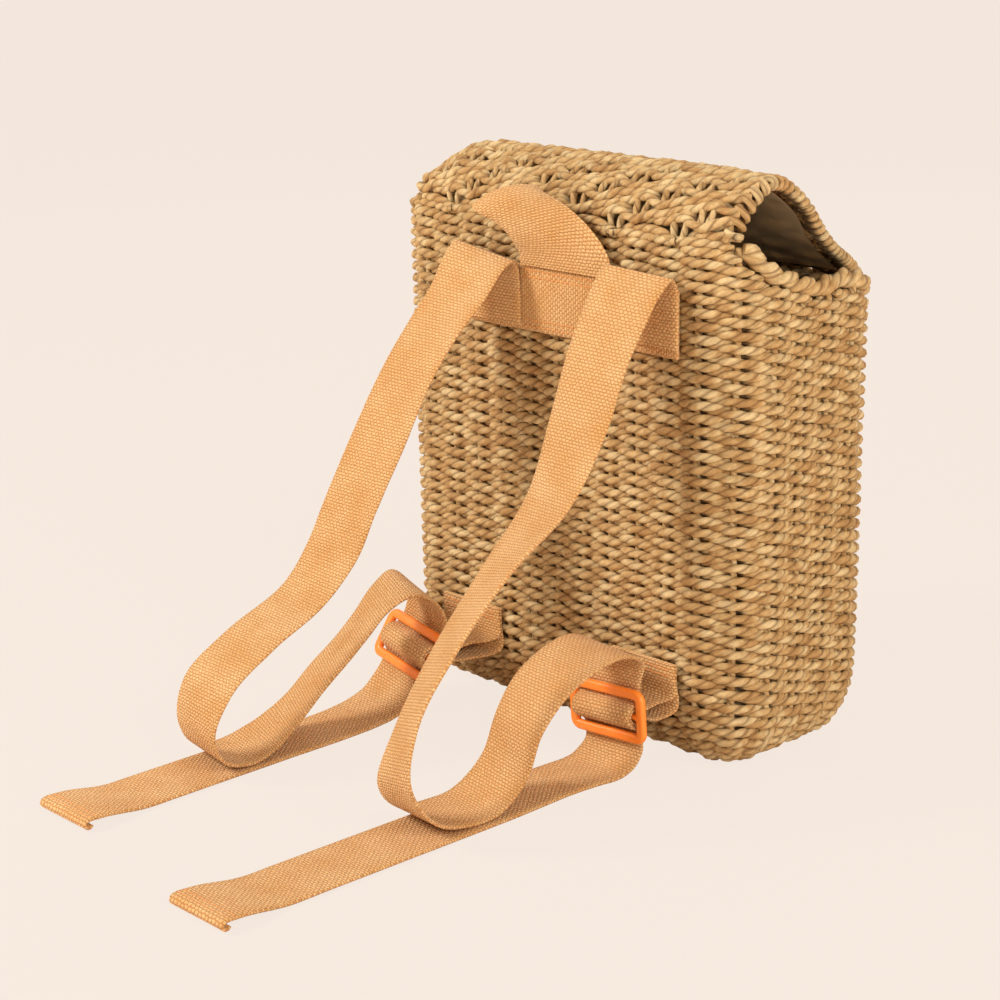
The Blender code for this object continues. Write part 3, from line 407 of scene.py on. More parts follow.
@dataclass
class Guides:
    """Guide lines that the rope is laid along, gathered strand by strand."""

    points: list[Array] = field(default_factory=list)
    outward: list[Array] = field(default_factory=list)
    upward: list[Array] = field(default_factory=list)
    turn: list[Array] = field(default_factory=list)
    run: list[Array] = field(default_factory=list)
    thick: list[Array] = field(default_factory=list)
    edges: list[Array] = field(default_factory=list)
    count: int = 0

    def add(self, points: Array, outward: Array, upward: Array, turn: Array, closed: bool,
            thick: Array | float = 1.0) -> None:
        """Add one strand's guide line.

        Args:
            points: The line's points.
            outward: The direction out of the cloth at each point.
            upward: The direction across the row at each point.
            turn: The strand's angle about the row at each point.
            closed: Whether the line joins up.
            thick: The strand's share of the rope's thickness.
        """
        number = len(points)
        steps = np.linalg.norm(np.diff(points, axis=0), axis=1)
        self.points.append(points)
        self.outward.append(outward)
        self.upward.append(upward)
        self.turn.append(turn)
        self.run.append(np.concatenate(([0.0], np.cumsum(steps))) + self.count * 0.37 * MM)
        self.thick.append(np.broadcast_to(thick, (number,)).astype(float))
        first = np.arange(number if closed else number - 1)
        self.edges.append(np.stack((first, (first + 1) % number), axis=1) + self.count)
        self.count += number

    def mesh(self, name: str) -> bpy.types.Mesh:
        """Build a mesh of the guide lines that carries what the rope needs."""
        mesh = bpy.data.meshes.new(name)
        points = np.concatenate(self.points)
        edges = np.concatenate(self.edges)
        mesh.vertices.add(len(points))
        mesh.vertices.foreach_set("co", points.astype(np.float32).ravel())
        mesh.edges.add(len(edges))
        mesh.edges.foreach_set("vertices", edges.astype(np.int32).ravel())
        for label, values in (("outward", self.outward), ("upward", self.upward)):
            layer = mesh.attributes.new(label, "FLOAT_VECTOR", "POINT")
            layer.data.foreach_set("vector", np.concatenate(values).astype(np.float32).ravel())
        # How far behind the row a strand lies, which the rope's material turns into painted shade.
        behind = [0.5 - 0.5 * np.cos(turn) for turn in self.turn]
        for label, numbers in (("turn", self.turn), ("run", self.run), ("thick", self.thick),
                               ("behind", behind)):
            layer = mesh.attributes.new(label, "FLOAT", "POINT")
            layer.data.foreach_set("value", np.concatenate(numbers).astype(np.float32))
        mesh.update()
        return mesh


@dataclass
class RopeTree:
    """The Geometry Nodes tree that lays two-ply rope along guide lines, twined about its row."""

    name: str = "two_ply_rope"
    tree: bpy.types.NodeTree | None = None

    def build(self) -> bpy.types.NodeTree:
        """Build the tree once and return it."""
        if self.tree:
            return self.tree
        tree = bpy.data.node_groups.new(self.name, "GeometryNodeTree")
        for label, kind, value in (
                ("Guides", "NodeSocketGeometry", None), ("Depth", "NodeSocketFloat", 0.95 * MM),
                ("Height", "NodeSocketFloat", 1.0 * MM), ("Radius", "NodeSocketFloat", 1.9 * MM),
                ("Waist", "NodeSocketFloat", 0.2), ("Ply Pitch", "NodeSocketFloat", 13 * MM),
                ("Material", "NodeSocketMaterial", None)):
            socket = tree.interface.new_socket(name=label, in_out="INPUT", socket_type=kind)
            if value is not None:
                socket.default_value = value
        tree.interface.new_socket(name="Rope", in_out="OUTPUT", socket_type="NodeSocketGeometry")
        given = tree.nodes.new("NodeGroupInput").outputs
        line = add_node(tree, "GeometryNodeMeshToCurve", {"Mesh": given["Guides"]})
        read = {}
        for label, kind in (("outward", "FLOAT_VECTOR"), ("upward", "FLOAT_VECTOR"),
                            ("turn", "FLOAT"), ("run", "FLOAT"), ("thick", "FLOAT")):
            read[label] = add_node(tree, "GeometryNodeInputNamedAttribute", {"Name": label},
                                   data_type=kind).outputs[0]
        forward = add_node(tree, "ShaderNodeMath", {0: read["turn"]}, operation="COSINE")
        lifted = add_node(tree, "ShaderNodeMath", {0: read["turn"]}, operation="SINE")
        out = add_node(tree, "ShaderNodeMath", {0: forward.outputs[0], 1: given["Depth"]},
                       operation="MULTIPLY")
        over = add_node(tree, "ShaderNodeMath", {0: lifted.outputs[0], 1: given["Height"]},
                        operation="MULTIPLY")
        out_move = add_node(tree, "ShaderNodeVectorMath",
                            {0: read["outward"], "Scale": out.outputs[0]}, operation="SCALE")
        up_move = add_node(tree, "ShaderNodeVectorMath",
                           {0: read["upward"], "Scale": over.outputs[0]}, operation="SCALE")
        move = add_node(tree, "ShaderNodeVectorMath",
                        {0: out_move.outputs[0], 1: up_move.outputs[0]}, operation="ADD")
        moved = add_node(tree, "GeometryNodeSetPosition",
                         {"Geometry": line.outputs[0], "Offset": move.outputs[0]})
        turns = add_node(tree, "ShaderNodeMath", {0: read["run"], 1: given["Ply Pitch"]},
                         operation="DIVIDE")
        angle = add_node(tree, "ShaderNodeMath", {0: turns.outputs[0], 1: -2 * pi},
                         operation="MULTIPLY")
        twisted = add_node(tree, "GeometryNodeSetCurveTilt",
                           {"Curve": moved.outputs[0], "Tilt": angle.outputs[0]})
        profile = self.profile(tree, given["Waist"])
        size = add_node(tree, "ShaderNodeMath", {0: read["thick"], 1: given["Radius"]},
                        operation="MULTIPLY")
        rope = add_node(tree, "GeometryNodeCurveToMesh",
                        {"Curve": twisted.outputs[0], "Profile Curve": profile,
                         "Scale": size.outputs[0], "Fill Caps": True})
        last = rope.outputs[0]
        for label in ("outward", "upward", "turn", "thick"):
            last = add_node(tree, "GeometryNodeRemoveAttribute",
                            {"Geometry": last, "Name": label}).outputs[0]
        smooth = add_node(tree, "GeometryNodeSetShadeSmooth", {"Geometry": last})
        real = add_node(tree, "GeometryNodeRealizeInstances", {"Geometry": smooth.outputs[0]})
        dressed = add_node(tree, "GeometryNodeSetMaterial",
                           {"Geometry": real.outputs[0], "Material": given["Material"]})
        add_node(tree, "NodeGroupOutput", {"Rope": dressed.outputs[0]})
        self.tree = tree
        return tree

    def profile(self, tree: bpy.types.NodeTree, waist: bpy.types.NodeSocket) -> Any:
        """Add the two-lobed cross-section of the rope.

        Args:
            tree: The tree.
            waist: The socket that says how deep the groove between the plies is.

        Returns:
            The socket of the profile curve, which carries how deep in the groove a point is.
        """
        ring = add_node(tree, "GeometryNodeCurvePrimitiveCircle",
                        {"Resolution": 8, "Radius": 1.0})
        spot = add_node(tree, "GeometryNodeInputPosition")
        parts = add_node(tree, "ShaderNodeSeparateXYZ", {0: spot.outputs[0]})
        square = add_node(tree, "ShaderNodeMath", {0: parts.outputs[1], 1: parts.outputs[1]},
                          operation="MULTIPLY")
        # The groove depth is read by the rope's material to paint shade in the grooves.
        kept = add_node(tree, "GeometryNodeStoreNamedAttribute",
                        {"Geometry": ring.outputs[0], "Name": "groove",
                         "Value": square.outputs[0]}, data_type="FLOAT", domain="POINT")
        marked = add_node(tree, "GeometryNodeStoreNamedAttribute",
                          {"Geometry": kept.outputs[0], "Name": "side",
                           "Value": spot.outputs[0]}, data_type="FLOAT_VECTOR", domain="POINT")
        deep = add_node(tree, "ShaderNodeMath", {0: square.outputs[0], 1: waist},
                        operation="MULTIPLY")
        share = add_node(tree, "ShaderNodeMath", {0: 1.0, 1: deep.outputs[0]},
                         operation="SUBTRACT")
        pulled = add_node(tree, "ShaderNodeVectorMath",
                          {0: spot.outputs[0], "Scale": share.outputs[0]}, operation="SCALE")
        return add_node(tree, "GeometryNodeSetPosition",
                        {"Geometry": marked.outputs[0], "Position": pulled.outputs[0]}).outputs[0]


def apply_tree(name: str, mesh: bpy.types.Mesh, tree: bpy.types.NodeTree,
               values: dict[str, Any]) -> bpy.types.Object:
    """Run a Geometry Nodes tree on a mesh and keep the result as a plain mesh.

    Args:
        name: The finished piece's name.
        mesh: The mesh that the tree starts from.
        tree: The tree.
        values: The value of each named input.

    Returns:
        The finished piece's object.
    """
    start = bpy.data.objects.new(name + "_guides", mesh)
    bpy.context.scene.collection.objects.link(start)
    modifier = start.modifiers.new("Nodes", "NODES")
    modifier.node_group = tree
    identifiers = {item.name: item.identifier for item in tree.interface.items_tree
                   if item.in_out == "INPUT"}
    for label, value in values.items():
        modifier[identifiers[label]] = value
    graph = bpy.context.evaluated_depsgraph_get()
    made = bpy.data.meshes.new_from_object(start.evaluated_get(graph),
                                           preserve_all_data_layers=True, depsgraph=graph)
    start.modifiers.remove(modifier)
    bpy.data.objects.remove(start, do_unlink=True)
    made.name = name
    return link_piece(name, made)


def link_piece(name: str, mesh: bpy.types.Mesh) -> bpy.types.Object:
    """Add a piece to the scene."""
    piece = bpy.data.objects.new(name, mesh)
    bpy.context.scene.collection.objects.link(piece)
    return piece


def settle(piece: bpy.types.Object, body: Body, slot: Slot, *nodes: str) -> bpy.types.Object:
    """Hang a finished piece on its body.

    Args:
        piece: The piece.
        body: The body that it rides on.
        slot: The record's slot that its finish comes from; not used.
        nodes: The CAD nodes that it stands for.

    Returns:
        The piece.
    """
    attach(piece, body.value)
    if nodes:
        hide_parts(*nodes)
    LOG.info("%s: %d faces on %s", piece.name, len(piece.data.polygons), body.value)
    return piece


@dataclass(frozen=True)
class RopeGauge:
    """The thickness of a rope and how far its two strands stand apart in a row."""

    radius: float = 2.2 * MM
    depth: float = 1.0 * MM
    height: float = 1.05 * MM
    waist: float = 0.22
    ply_pitch: float = 13 * MM

    def values(self, material: bpy.types.Material) -> dict[str, Any]:
        """Return the rope tree's inputs for this gauge."""
        return {"Depth": self.depth, "Height": self.height, "Radius": self.radius,
                "Waist": self.waist, "Ply Pitch": self.ply_pitch, "Material": material}


@dataclass(frozen=True)
class BodyShape:
    """The outer face of the basket's body, as the CAD model has it."""

    width: float = 226 * MM
    depth: float = 104 * MM
    corner: float = 30 * MM
    taper: float = 2.5 * MM
    turn_in: float = 24 * MM
    turn_up: float = 34 * MM
    lip: float = 4 * MM
    back_height: float = 241.7 * MM
    side_height: float = 214 * MM
    rim_shares: Rows = field(default_factory=lambda: [
        (1.0, 1.0), (0.81, 1.0), (0.70, 0.62), (0.54, 0.38), (0.19, 0.18), (0.02, 0.04),
        (-0.15, 0.09), (-0.38, 0.16), (-0.58, 0.07), (-0.87, -0.20), (-1.0, -0.26)])

    def wall_top(self, y: Array) -> Array:
        """Return the height of the wall's top edge at places along Y."""
        place = np.asarray(y) / (self.depth / 2)
        share = np.full_like(place, self.rim_shares[-1][1])
        for (high, high_share), (low, low_share) in zip(self.rim_shares, self.rim_shares[1:]):
            inside = (place >= low) & (place <= high + 1e-9)
            part = smooth_step((high - place) / (high - low))
            share = np.where(inside, high_share + (low_share - high_share) * part, share)
        share = np.where(place > 1, 1.0, share)
        return self.side_height + (self.back_height - self.side_height) * share

    def perimeter(self, inset: float) -> float:
        """Return the length round the body at an inset."""
        radius = max(self.corner - inset, 0.0)
        return 2 * (self.width + self.depth - 4 * self.corner) + 2 * pi * radius

    def outline(self, inset: float, places: Array) -> tuple[Array, Array]:
        """Return points round the body's plan.

        Args:
            inset: How far the points lie in from the outer face.
            places: Shares of the way round, counterclockwise from the middle of the front.

        Returns:
            The points and the directions out of the outline.
        """
        wide = self.width / 2 - self.corner
        deep = self.depth / 2 - self.corner
        radius = max(self.corner - inset, 0.0)
        if inset > self.corner:
            wide -= inset - self.corner
            deep -= inset - self.corner
        arc = pi / 2 * radius
        parts = [(wide, "line", (0, -1)), (arc, "arc", (1, -1)), (2 * deep, "line", (1, 0)),
                 (arc, "arc", (1, 1)), (2 * wide, "line", (0, 1)), (arc, "arc", (-1, 1)),
                 (2 * deep, "line", (-1, 0)), (arc, "arc", (-1, -1)), (wide, "line", (0, -1))]
        total = sum(part[0] for part in parts)
        distance = (np.asarray(places) % 1.0) * total
        points = np.zeros((len(distance), 2))
        facing = np.zeros((len(distance), 2))
        begun = 0.0
        for index, (length, kind, (side_x, side_y)) in enumerate(parts):
            inside = (distance >= begun) & (distance <= begun + length + 1e-12)
            along = distance - begun
            if kind == "line":
                normal = np.array((side_x, side_y), float)
                run = np.array((-side_y, side_x), float)
                base = np.array((side_x * (wide + radius), side_y * (deep + radius)))
                half = 0.0 if index == 0 else (wide if side_x == 0 else deep)
                if index == 8:
                    half = wide
                spot = base + run * (along - half)[:, None]
                face = np.broadcast_to(normal, spot.shape)
            else:
                start = {(1, -1): -pi / 2, (1, 1): 0.0, (-1, 1): pi / 2, (-1, -1): pi}[
                    (side_x, side_y)]
                angle = start + along / max(radius, 1e-9)
                face = np.stack((np.cos(angle), np.sin(angle)), axis=1)
                spot = np.array((side_x * wide, side_y * deep)) + radius * face
            points[inside] = spot[inside]
            facing[inside] = face[inside]
            begun += length
        return points, facing

    def profile(self, distance: Array) -> tuple[Array, Array, Array, Array]:
        """Return the wall's upright profile at distances up from the base's edge.

        Returns:
            The inset, the height, and the run of the profile outward and upward.
        """
        angles = np.linspace(pi / 2, 0, 25)
        insets = np.concatenate(([self.turn_in + self.lip], self.turn_in * (1 - np.cos(angles)),
                                 [0.0]))
        heights = np.concatenate(([0.0], self.turn_up * (1 - np.sin(angles)), [0.4]))
        lengths = np.concatenate(([0.0], np.cumsum(np.hypot(np.diff(insets), np.diff(heights)))))
        inset = np.interp(distance, lengths, insets)
        height = np.interp(distance, lengths, heights)
        step = 0.5 * MM
        out = -(np.interp(distance + step, lengths, insets)
                - np.interp(distance - step, lengths, insets))
        rise = (np.interp(distance + step, lengths, heights)
                - np.interp(distance - step, lengths, heights))
        size = np.maximum(np.hypot(out, rise), 1e-9)
        return inset, height, out / size, rise / size

    def foot_length(self) -> float:
        """Return the length of the profile below the straight wall."""
        angles = np.linspace(pi / 2, 0, 25)
        bend = np.sum(np.hypot(np.diff(self.turn_in * (1 - np.cos(angles))),
                               np.diff(self.turn_up * (1 - np.sin(angles)))))
        return self.lip + float(bend)

    def place(self, share: Array, distance: Array, depth: float) -> tuple[Array, Array, Array]:
        """Return points of the wall.

        Args:
            share: Shares of the way round.
            distance: Distances up the profile.
            depth: How far under the outer face the points lie.

        Returns:
            The points, the directions out of the wall and the directions up it.
        """
        inset, height, out, rise = self.profile(distance)
        flat, facing = self.outline(2.65 * MM, share)
        flat = flat + facing * (2.65 * MM - inset)[:, None]
        shrink = 1 - self.taper / (self.width / 2) * np.maximum(0, 1 - height / self.side_height)
        points = np.column_stack((flat * shrink[:, None], height))
        outward = np.column_stack((facing * rise[:, None], -out))
        upward = np.column_stack((facing * out[:, None], rise))
        return points - outward * depth, outward, upward


@dataclass
class WovenBody:
    """The twined wall and base of the basket."""

    shape: BodyShape
    rope: bpy.types.Material
    tree: RopeTree
    gauge: RopeGauge = field(default_factory=lambda: RopeGauge(
        radius=2.42 * MM, depth=1.8 * MM, height=-0.25 * MM))
    row_pitch: float = 5.75 * MM
    stakes: int = 34
    step: float = 1.6 * MM
    strand_depth: float = 2.65 * MM
    band_rows: int = 14
    foot_lift: float = 1.4 * MM
    lean: float = 6.5 * MM

    def row(self, guides: Guides, index: int, distance: float) -> None:
        """Add one row's two strands.

        Args:
            guides: Where the strands are gathered.
            index: The row's number from the base.
            distance: Its distance up the wall's profile.
        """
        length = self.shape.perimeter(self.strand_depth)
        number = int(length / self.step)
        share = (np.arange(number) + 0.5) / number
        flat, _ = self.shape.outline(self.strand_depth, share)
        rim = self.shape.wall_top(flat[:, 1])
        back = np.clip(flat[:, 1] / (self.shape.depth / 2 - 6 * MM), -1, 1)
        lean = self.lean * back * smooth_step((distance - 12 * MM) / (60 * MM))
        for strand in range(2):
            line = 2 * index + strand
            stray = wander(share * 3, 100 + index // 3, 0.42 * MM) \
                + wander(share * 7, 300 + line, 0.24 * MM)
            stray = stray * smooth_step((distance - 8 * MM) / (30 * MM))
            along = distance + strand * self.row_pitch / 2 + lean + stray
            points, outward, upward = self.shape.place(share, along, self.strand_depth)
            points = points - outward * np.clip(-outward[:, 2:3], 0, 1) * self.foot_lift
            low = np.where(flat[:, 1] > 0.8 * self.shape.depth / 2, -3 * MM, 1.4 * MM)
            mask = rim - points[:, 2] > low
            slack = wander(share * 12, 500 + line, 0.20, 4) + wander(share * 2, 700, 0.5, 4)
            angle = pi * (share * self.stakes + strand) + slack
            thick = 1 + wander(share * 11, 900 + line, 0.09) - 0.09 * (1 - np.cos(angle))
            if mask.all():
                guides.add(points, outward, upward, angle, True, thick)
                continue
            starts = np.flatnonzero(mask & ~np.roll(mask, 1))
            for start in starts:
                span = int(np.argmin(np.roll(mask, -start)))
                if span < 8:
                    continue
                chosen = (start + np.arange(span)) % number
                ends = np.minimum(np.arange(span), np.arange(span)[::-1])
                guides.add(points[chosen], outward[chosen], upward[chosen], angle[chosen],
                           False, thick[chosen] * (0.5 + 0.5 * smooth_step(ends / 2.5)))

    def stake_lines(self, guides: Guides) -> None:
        """Add the upright stakes."""
        foot = self.shape.foot_length()
        for stake in range(self.stakes):
            share = (stake + wander(np.array([stake / 7]), 40, 0.05)[0]) / self.stakes
            flat, _ = self.shape.outline(self.strand_depth, np.array([share]))
            top = float(self.shape.wall_top(flat[:, 1])[0]) - self.shape.turn_up + foot
            number = int(top / (2.4 * MM))
            distance = np.linspace(3 * MM, top - 1 * MM, number)
            drift = wander(distance / 0.24, 1200 + stake, 0.0009, 3)
            points, outward, upward = self.shape.place(np.full(number, share) + drift, distance,
                                                       self.strand_depth + 0.3 * MM)
            guides.add(points, outward, upward, np.zeros(number), False, 0.92)

    def base_rows(self, guides: Guides) -> None:
        """Add the rows of the base, one inside another, and the strand down its middle."""
        inset = self.shape.turn_in + self.shape.lip + 3.2 * MM
        strand = 0
        while inset < self.shape.depth / 2 - 2 * MM:
            number = int(self.shape.perimeter(min(inset, self.shape.corner)) / self.step)
            share = (np.arange(number) + 0.5) / number
            flat, facing = self.shape.outline(inset, share)
            shrink = 1 - self.shape.taper / (self.shape.width / 2)
            points = np.column_stack((flat * shrink, np.full(number, self.strand_depth)))
            outward = np.tile((0.0, 0.0, -1.0), (number, 1))
            upward = np.column_stack((-facing, np.zeros(number)))
            guides.add(points, outward, upward, pi * (share * self.stakes + strand), True)
            inset += self.row_pitch / 2
            strand += 1

    def build(self) -> list[bpy.types.Object]:
        """Weave the wall in bands and the base."""
        foot = self.shape.foot_length()
        side_top = foot + self.shape.side_height - self.shape.turn_up
        rows = round(side_top / self.row_pitch)
        distances = (np.arange(rows) + 0.5) * side_top / rows
        rise = self.shape.back_height - self.shape.side_height - self.lean - 0.8 * MM
        extra = round(rise / self.row_pitch)
        distances = np.concatenate((distances,
                                    side_top + (np.arange(extra) + 0.5) * rise / extra))
        pieces = []
        for band, first in enumerate(range(0, len(distances), self.band_rows)):
            guides = Guides()
            for index in range(first, min(first + self.band_rows, len(distances))):
                self.row(guides, index, float(distances[index]))
            name = "wall_weave_" + str(band + 1)
            pieces.append(self.lay(name, guides, self.gauge))
        guides = Guides()
        self.stake_lines(guides)
        pieces.append(self.lay("wall_stakes", guides, RopeGauge(depth=0.0, height=0.0)))
        for piece in pieces[1:]:
            settle(piece, Body.BASKET, Slot.ROPE)
        settle(pieces[0], Body.BASKET, Slot.ROPE, "basket_wall")
        guides = Guides()
        self.base_rows(guides)
        base = self.lay("base_weave", guides,
                        RopeGauge(radius=2.0 * MM, depth=0.6 * MM, height=-0.1 * MM))
        settle(base, Body.BASKET, Slot.ROPE, "basket_base")
        return pieces + [base]

    def lay(self, name: str, guides: Guides, gauge: RopeGauge) -> bpy.types.Object:
        """Lay rope along guide lines."""
        return apply_tree(name, guides.mesh(name), self.tree.build(), gauge.values(self.rope))


@dataclass
class RimBorder:
    """The plaited border on the sides and the front of the wall."""

    shape: BodyShape
    rope: bpy.types.Material
    tree: RopeTree
    gauge: RopeGauge = field(default_factory=lambda: RopeGauge(
        radius=3.0 * MM, depth=1.7 * MM, height=1.8 * MM, ply_pitch=15 * MM))
    stitch: float = 12 * MM
    lift: float = 2.7 * MM
    back_share: float = 0.80

    def build(self) -> bpy.types.Object:
        """Plait the border."""
        number = 420
        share = (np.arange(number) + 0.5) / number
        flat, facing = self.shape.outline(2.5 * MM, share)
        outer, _ = self.shape.outline(0.0, share)
        keep = outer[:, 1] < self.back_share * self.shape.depth / 2
        start = int(np.flatnonzero(keep & ~np.roll(keep, 1))[0])
        chosen = (start + np.arange(int(keep.sum()))) % number
        flat, facing = flat[chosen], facing[chosen]
        height = np.pad(self.shape.wall_top(outer[chosen, 1]) + self.lift, 5, mode="edge")
        height = np.convolve(height, np.ones(11) / 11, mode="valid")
        points = np.column_stack((flat, height))
        run = unit(np.gradient(points, axis=0))
        outward = np.column_stack((facing, np.zeros(len(chosen))))
        upward = unit(np.cross(outward, run))
        upward *= np.sign(upward[:, 2:3])
        length = np.concatenate(([0.0], np.cumsum(np.linalg.norm(np.diff(points, axis=0),
                                                                  axis=1))))
        guides = Guides()
        for strand in range(2):
            guides.add(points, outward, upward, pi * length / self.stitch + pi * strand, False)
        piece = apply_tree("rim_braid", guides.mesh("rim_braid"), self.tree.build(),
                           self.gauge.values(self.rope))
        return settle(piece, Body.BASKET, Slot.BORDER, "rim_border")


def spline_rows(rows: Rows, steps: int) -> Rows:
    """Read rows from a smooth curve through the given rows.

    Args:
        rows: Rows of equal length that start with a point.
        steps: How many rows stand between one given row and the next.

    Returns:
        The rows of the curve.
    """
    table = np.array(rows, float)
    spans = np.maximum(np.linalg.norm(np.diff(table[:, :3], axis=0), axis=1), 0.03 * MM)
    rates = np.diff(table, axis=0) / spans[:, None]
    slopes = [rates[0]]
    for index in range(len(spans) - 1):
        total = spans[index] + spans[index + 1]
        slopes.append((rates[index] * spans[index + 1] + rates[index + 1] * spans[index]) / total)
    slopes.append(rates[-1])
    smooth = []
    for index, span in enumerate(spans):
        for step in range(steps):
            t = step / steps
            keep, lead = 2 * t ** 3 - 3 * t ** 2 + 1, t ** 3 - 2 * t ** 2 + t
            trail = t ** 3 - t ** 2
            smooth.append(tuple(keep * table[index] + (1 - keep) * table[index + 1]
                                + (lead * slopes[index] + trail * slopes[index + 1]) * span))
    smooth.append(tuple(table[-1]))
    return smooth


@dataclass
class LidShape:
    """The outer face of the lid, as the CAD model has it."""

    body: BodyShape
    hinge: float = 242 * MM
    rise: float = 28 * MM
    thickness: float = 4.6 * MM
    front_drop: float = 55 * MM
    standoff: float = 2.8 * MM
    left_droop: float = 1.4 * MM
    right_droop: float = 20 * MM
    right_share: float = 0.88
    shares: Rows = field(default_factory=lambda: [
        (1.0, 0.0, 0.925), (0.985, 0.30, 0.935), (0.89, 0.64, 0.945), (0.71, 0.88, 0.95),
        (0.52, 1.0, 0.95), (0.33, 0.97, 0.935), (0.12, 0.77, 0.925), (-0.11, 0.42, 0.91),
        (-0.33, 0.01, 0.885), (-0.55, -0.31, 0.865), (-0.76, -0.53, 0.84),
        (-0.93, -0.68, 0.805)])

    def __post_init__(self) -> None:
        """Read the profile from the hinge to the hem at even distances."""
        deep, wide = self.body.depth / 2, self.body.width / 2
        rows = [(y * deep, self.hinge + z * self.rise, x * wide) for y, z, x in self.shares]
        front = -(deep + self.standoff + self.thickness)
        turn_y, turn_z, turn_width = rows[-1]
        bend = turn_y - front
        rows.append((front + bend * (1 - cos(pi / 4)) * 0.5, turn_z - bend * 0.62,
                     turn_width * 0.98))
        rows.append((front, turn_z - bend * 1.7, turn_width * 0.97))
        hem = turn_z - self.front_drop
        run = turn_z - bend * 1.7 - hem
        rows += [(front, hem + run * 0.5, turn_width * 0.96),
                 (front, hem + run * 0.25, turn_width * 0.92),
                 (front, hem + run * 0.08, turn_width * 0.84), (front, hem, turn_width * 0.74)]
        self.table = np.array(spline_rows(rows, 8))
        steps = np.hypot(np.diff(self.table[:, 0]), np.diff(self.table[:, 1]))
        self.lengths = np.concatenate(([0.0], np.cumsum(steps)))
        self.total = float(self.lengths[-1])

    def point(self, distance: Array, across: Array) -> Array:
        """Return points of the lid's outer face.

        Args:
            distance: Distances along the profile from the hinge.
            across: Places across, -1 to 1 between the side edges.

        Returns:
            The points.
        """
        y = np.interp(distance, self.lengths, self.table[:, 0])
        z = np.interp(distance, self.lengths, self.table[:, 1])
        half = np.interp(distance, self.lengths, self.table[:, 2])
        x = across * half
        limit = np.where(x > 0, self.right_droop, self.left_droop)
        x = np.where(x > 0, x * self.right_share, x)
        height_share = np.clip((z - self.hinge) / self.rise, 0, 1)
        over_back = smooth_step((y / (self.body.depth / 2) - 0.45) / 0.5)
        edge = np.maximum(0, np.abs(x) / (self.body.width / 2) - 0.58) / 0.29
        droop = limit * edge ** 2 * smooth_step(height_share) ** 2
        radius = self.body.corner
        past = np.clip(np.abs(x) - (self.body.width / 2 - radius), 0, radius)
        corner = radius - np.sqrt(radius ** 2 - past ** 2)
        return np.stack((x, y - corner * over_back, z - droop), axis=-1)

    def place(self, distance: Array, across: Array, depth: float) -> tuple[Array, Array, Array]:
        """Return points under the lid's outer face.

        Returns:
            The points, the directions out of the lid and the directions back towards the hinge.
        """
        small = 0.8 * MM
        along = self.point(distance + small, across) - self.point(distance - small, across)
        side = self.point(distance, across + 0.01) - self.point(distance, across - 0.01)
        outward = unit(np.cross(side, along))
        outward = np.where((np.sum(outward * np.array((0, 0, 1.0)), axis=1)
                            + np.sum(outward * np.array((0, -0.02, 0)), axis=1))[:, None] < -0.02,
                           -outward, outward)
        return self.point(distance, across) - outward * depth, outward, -unit(along)


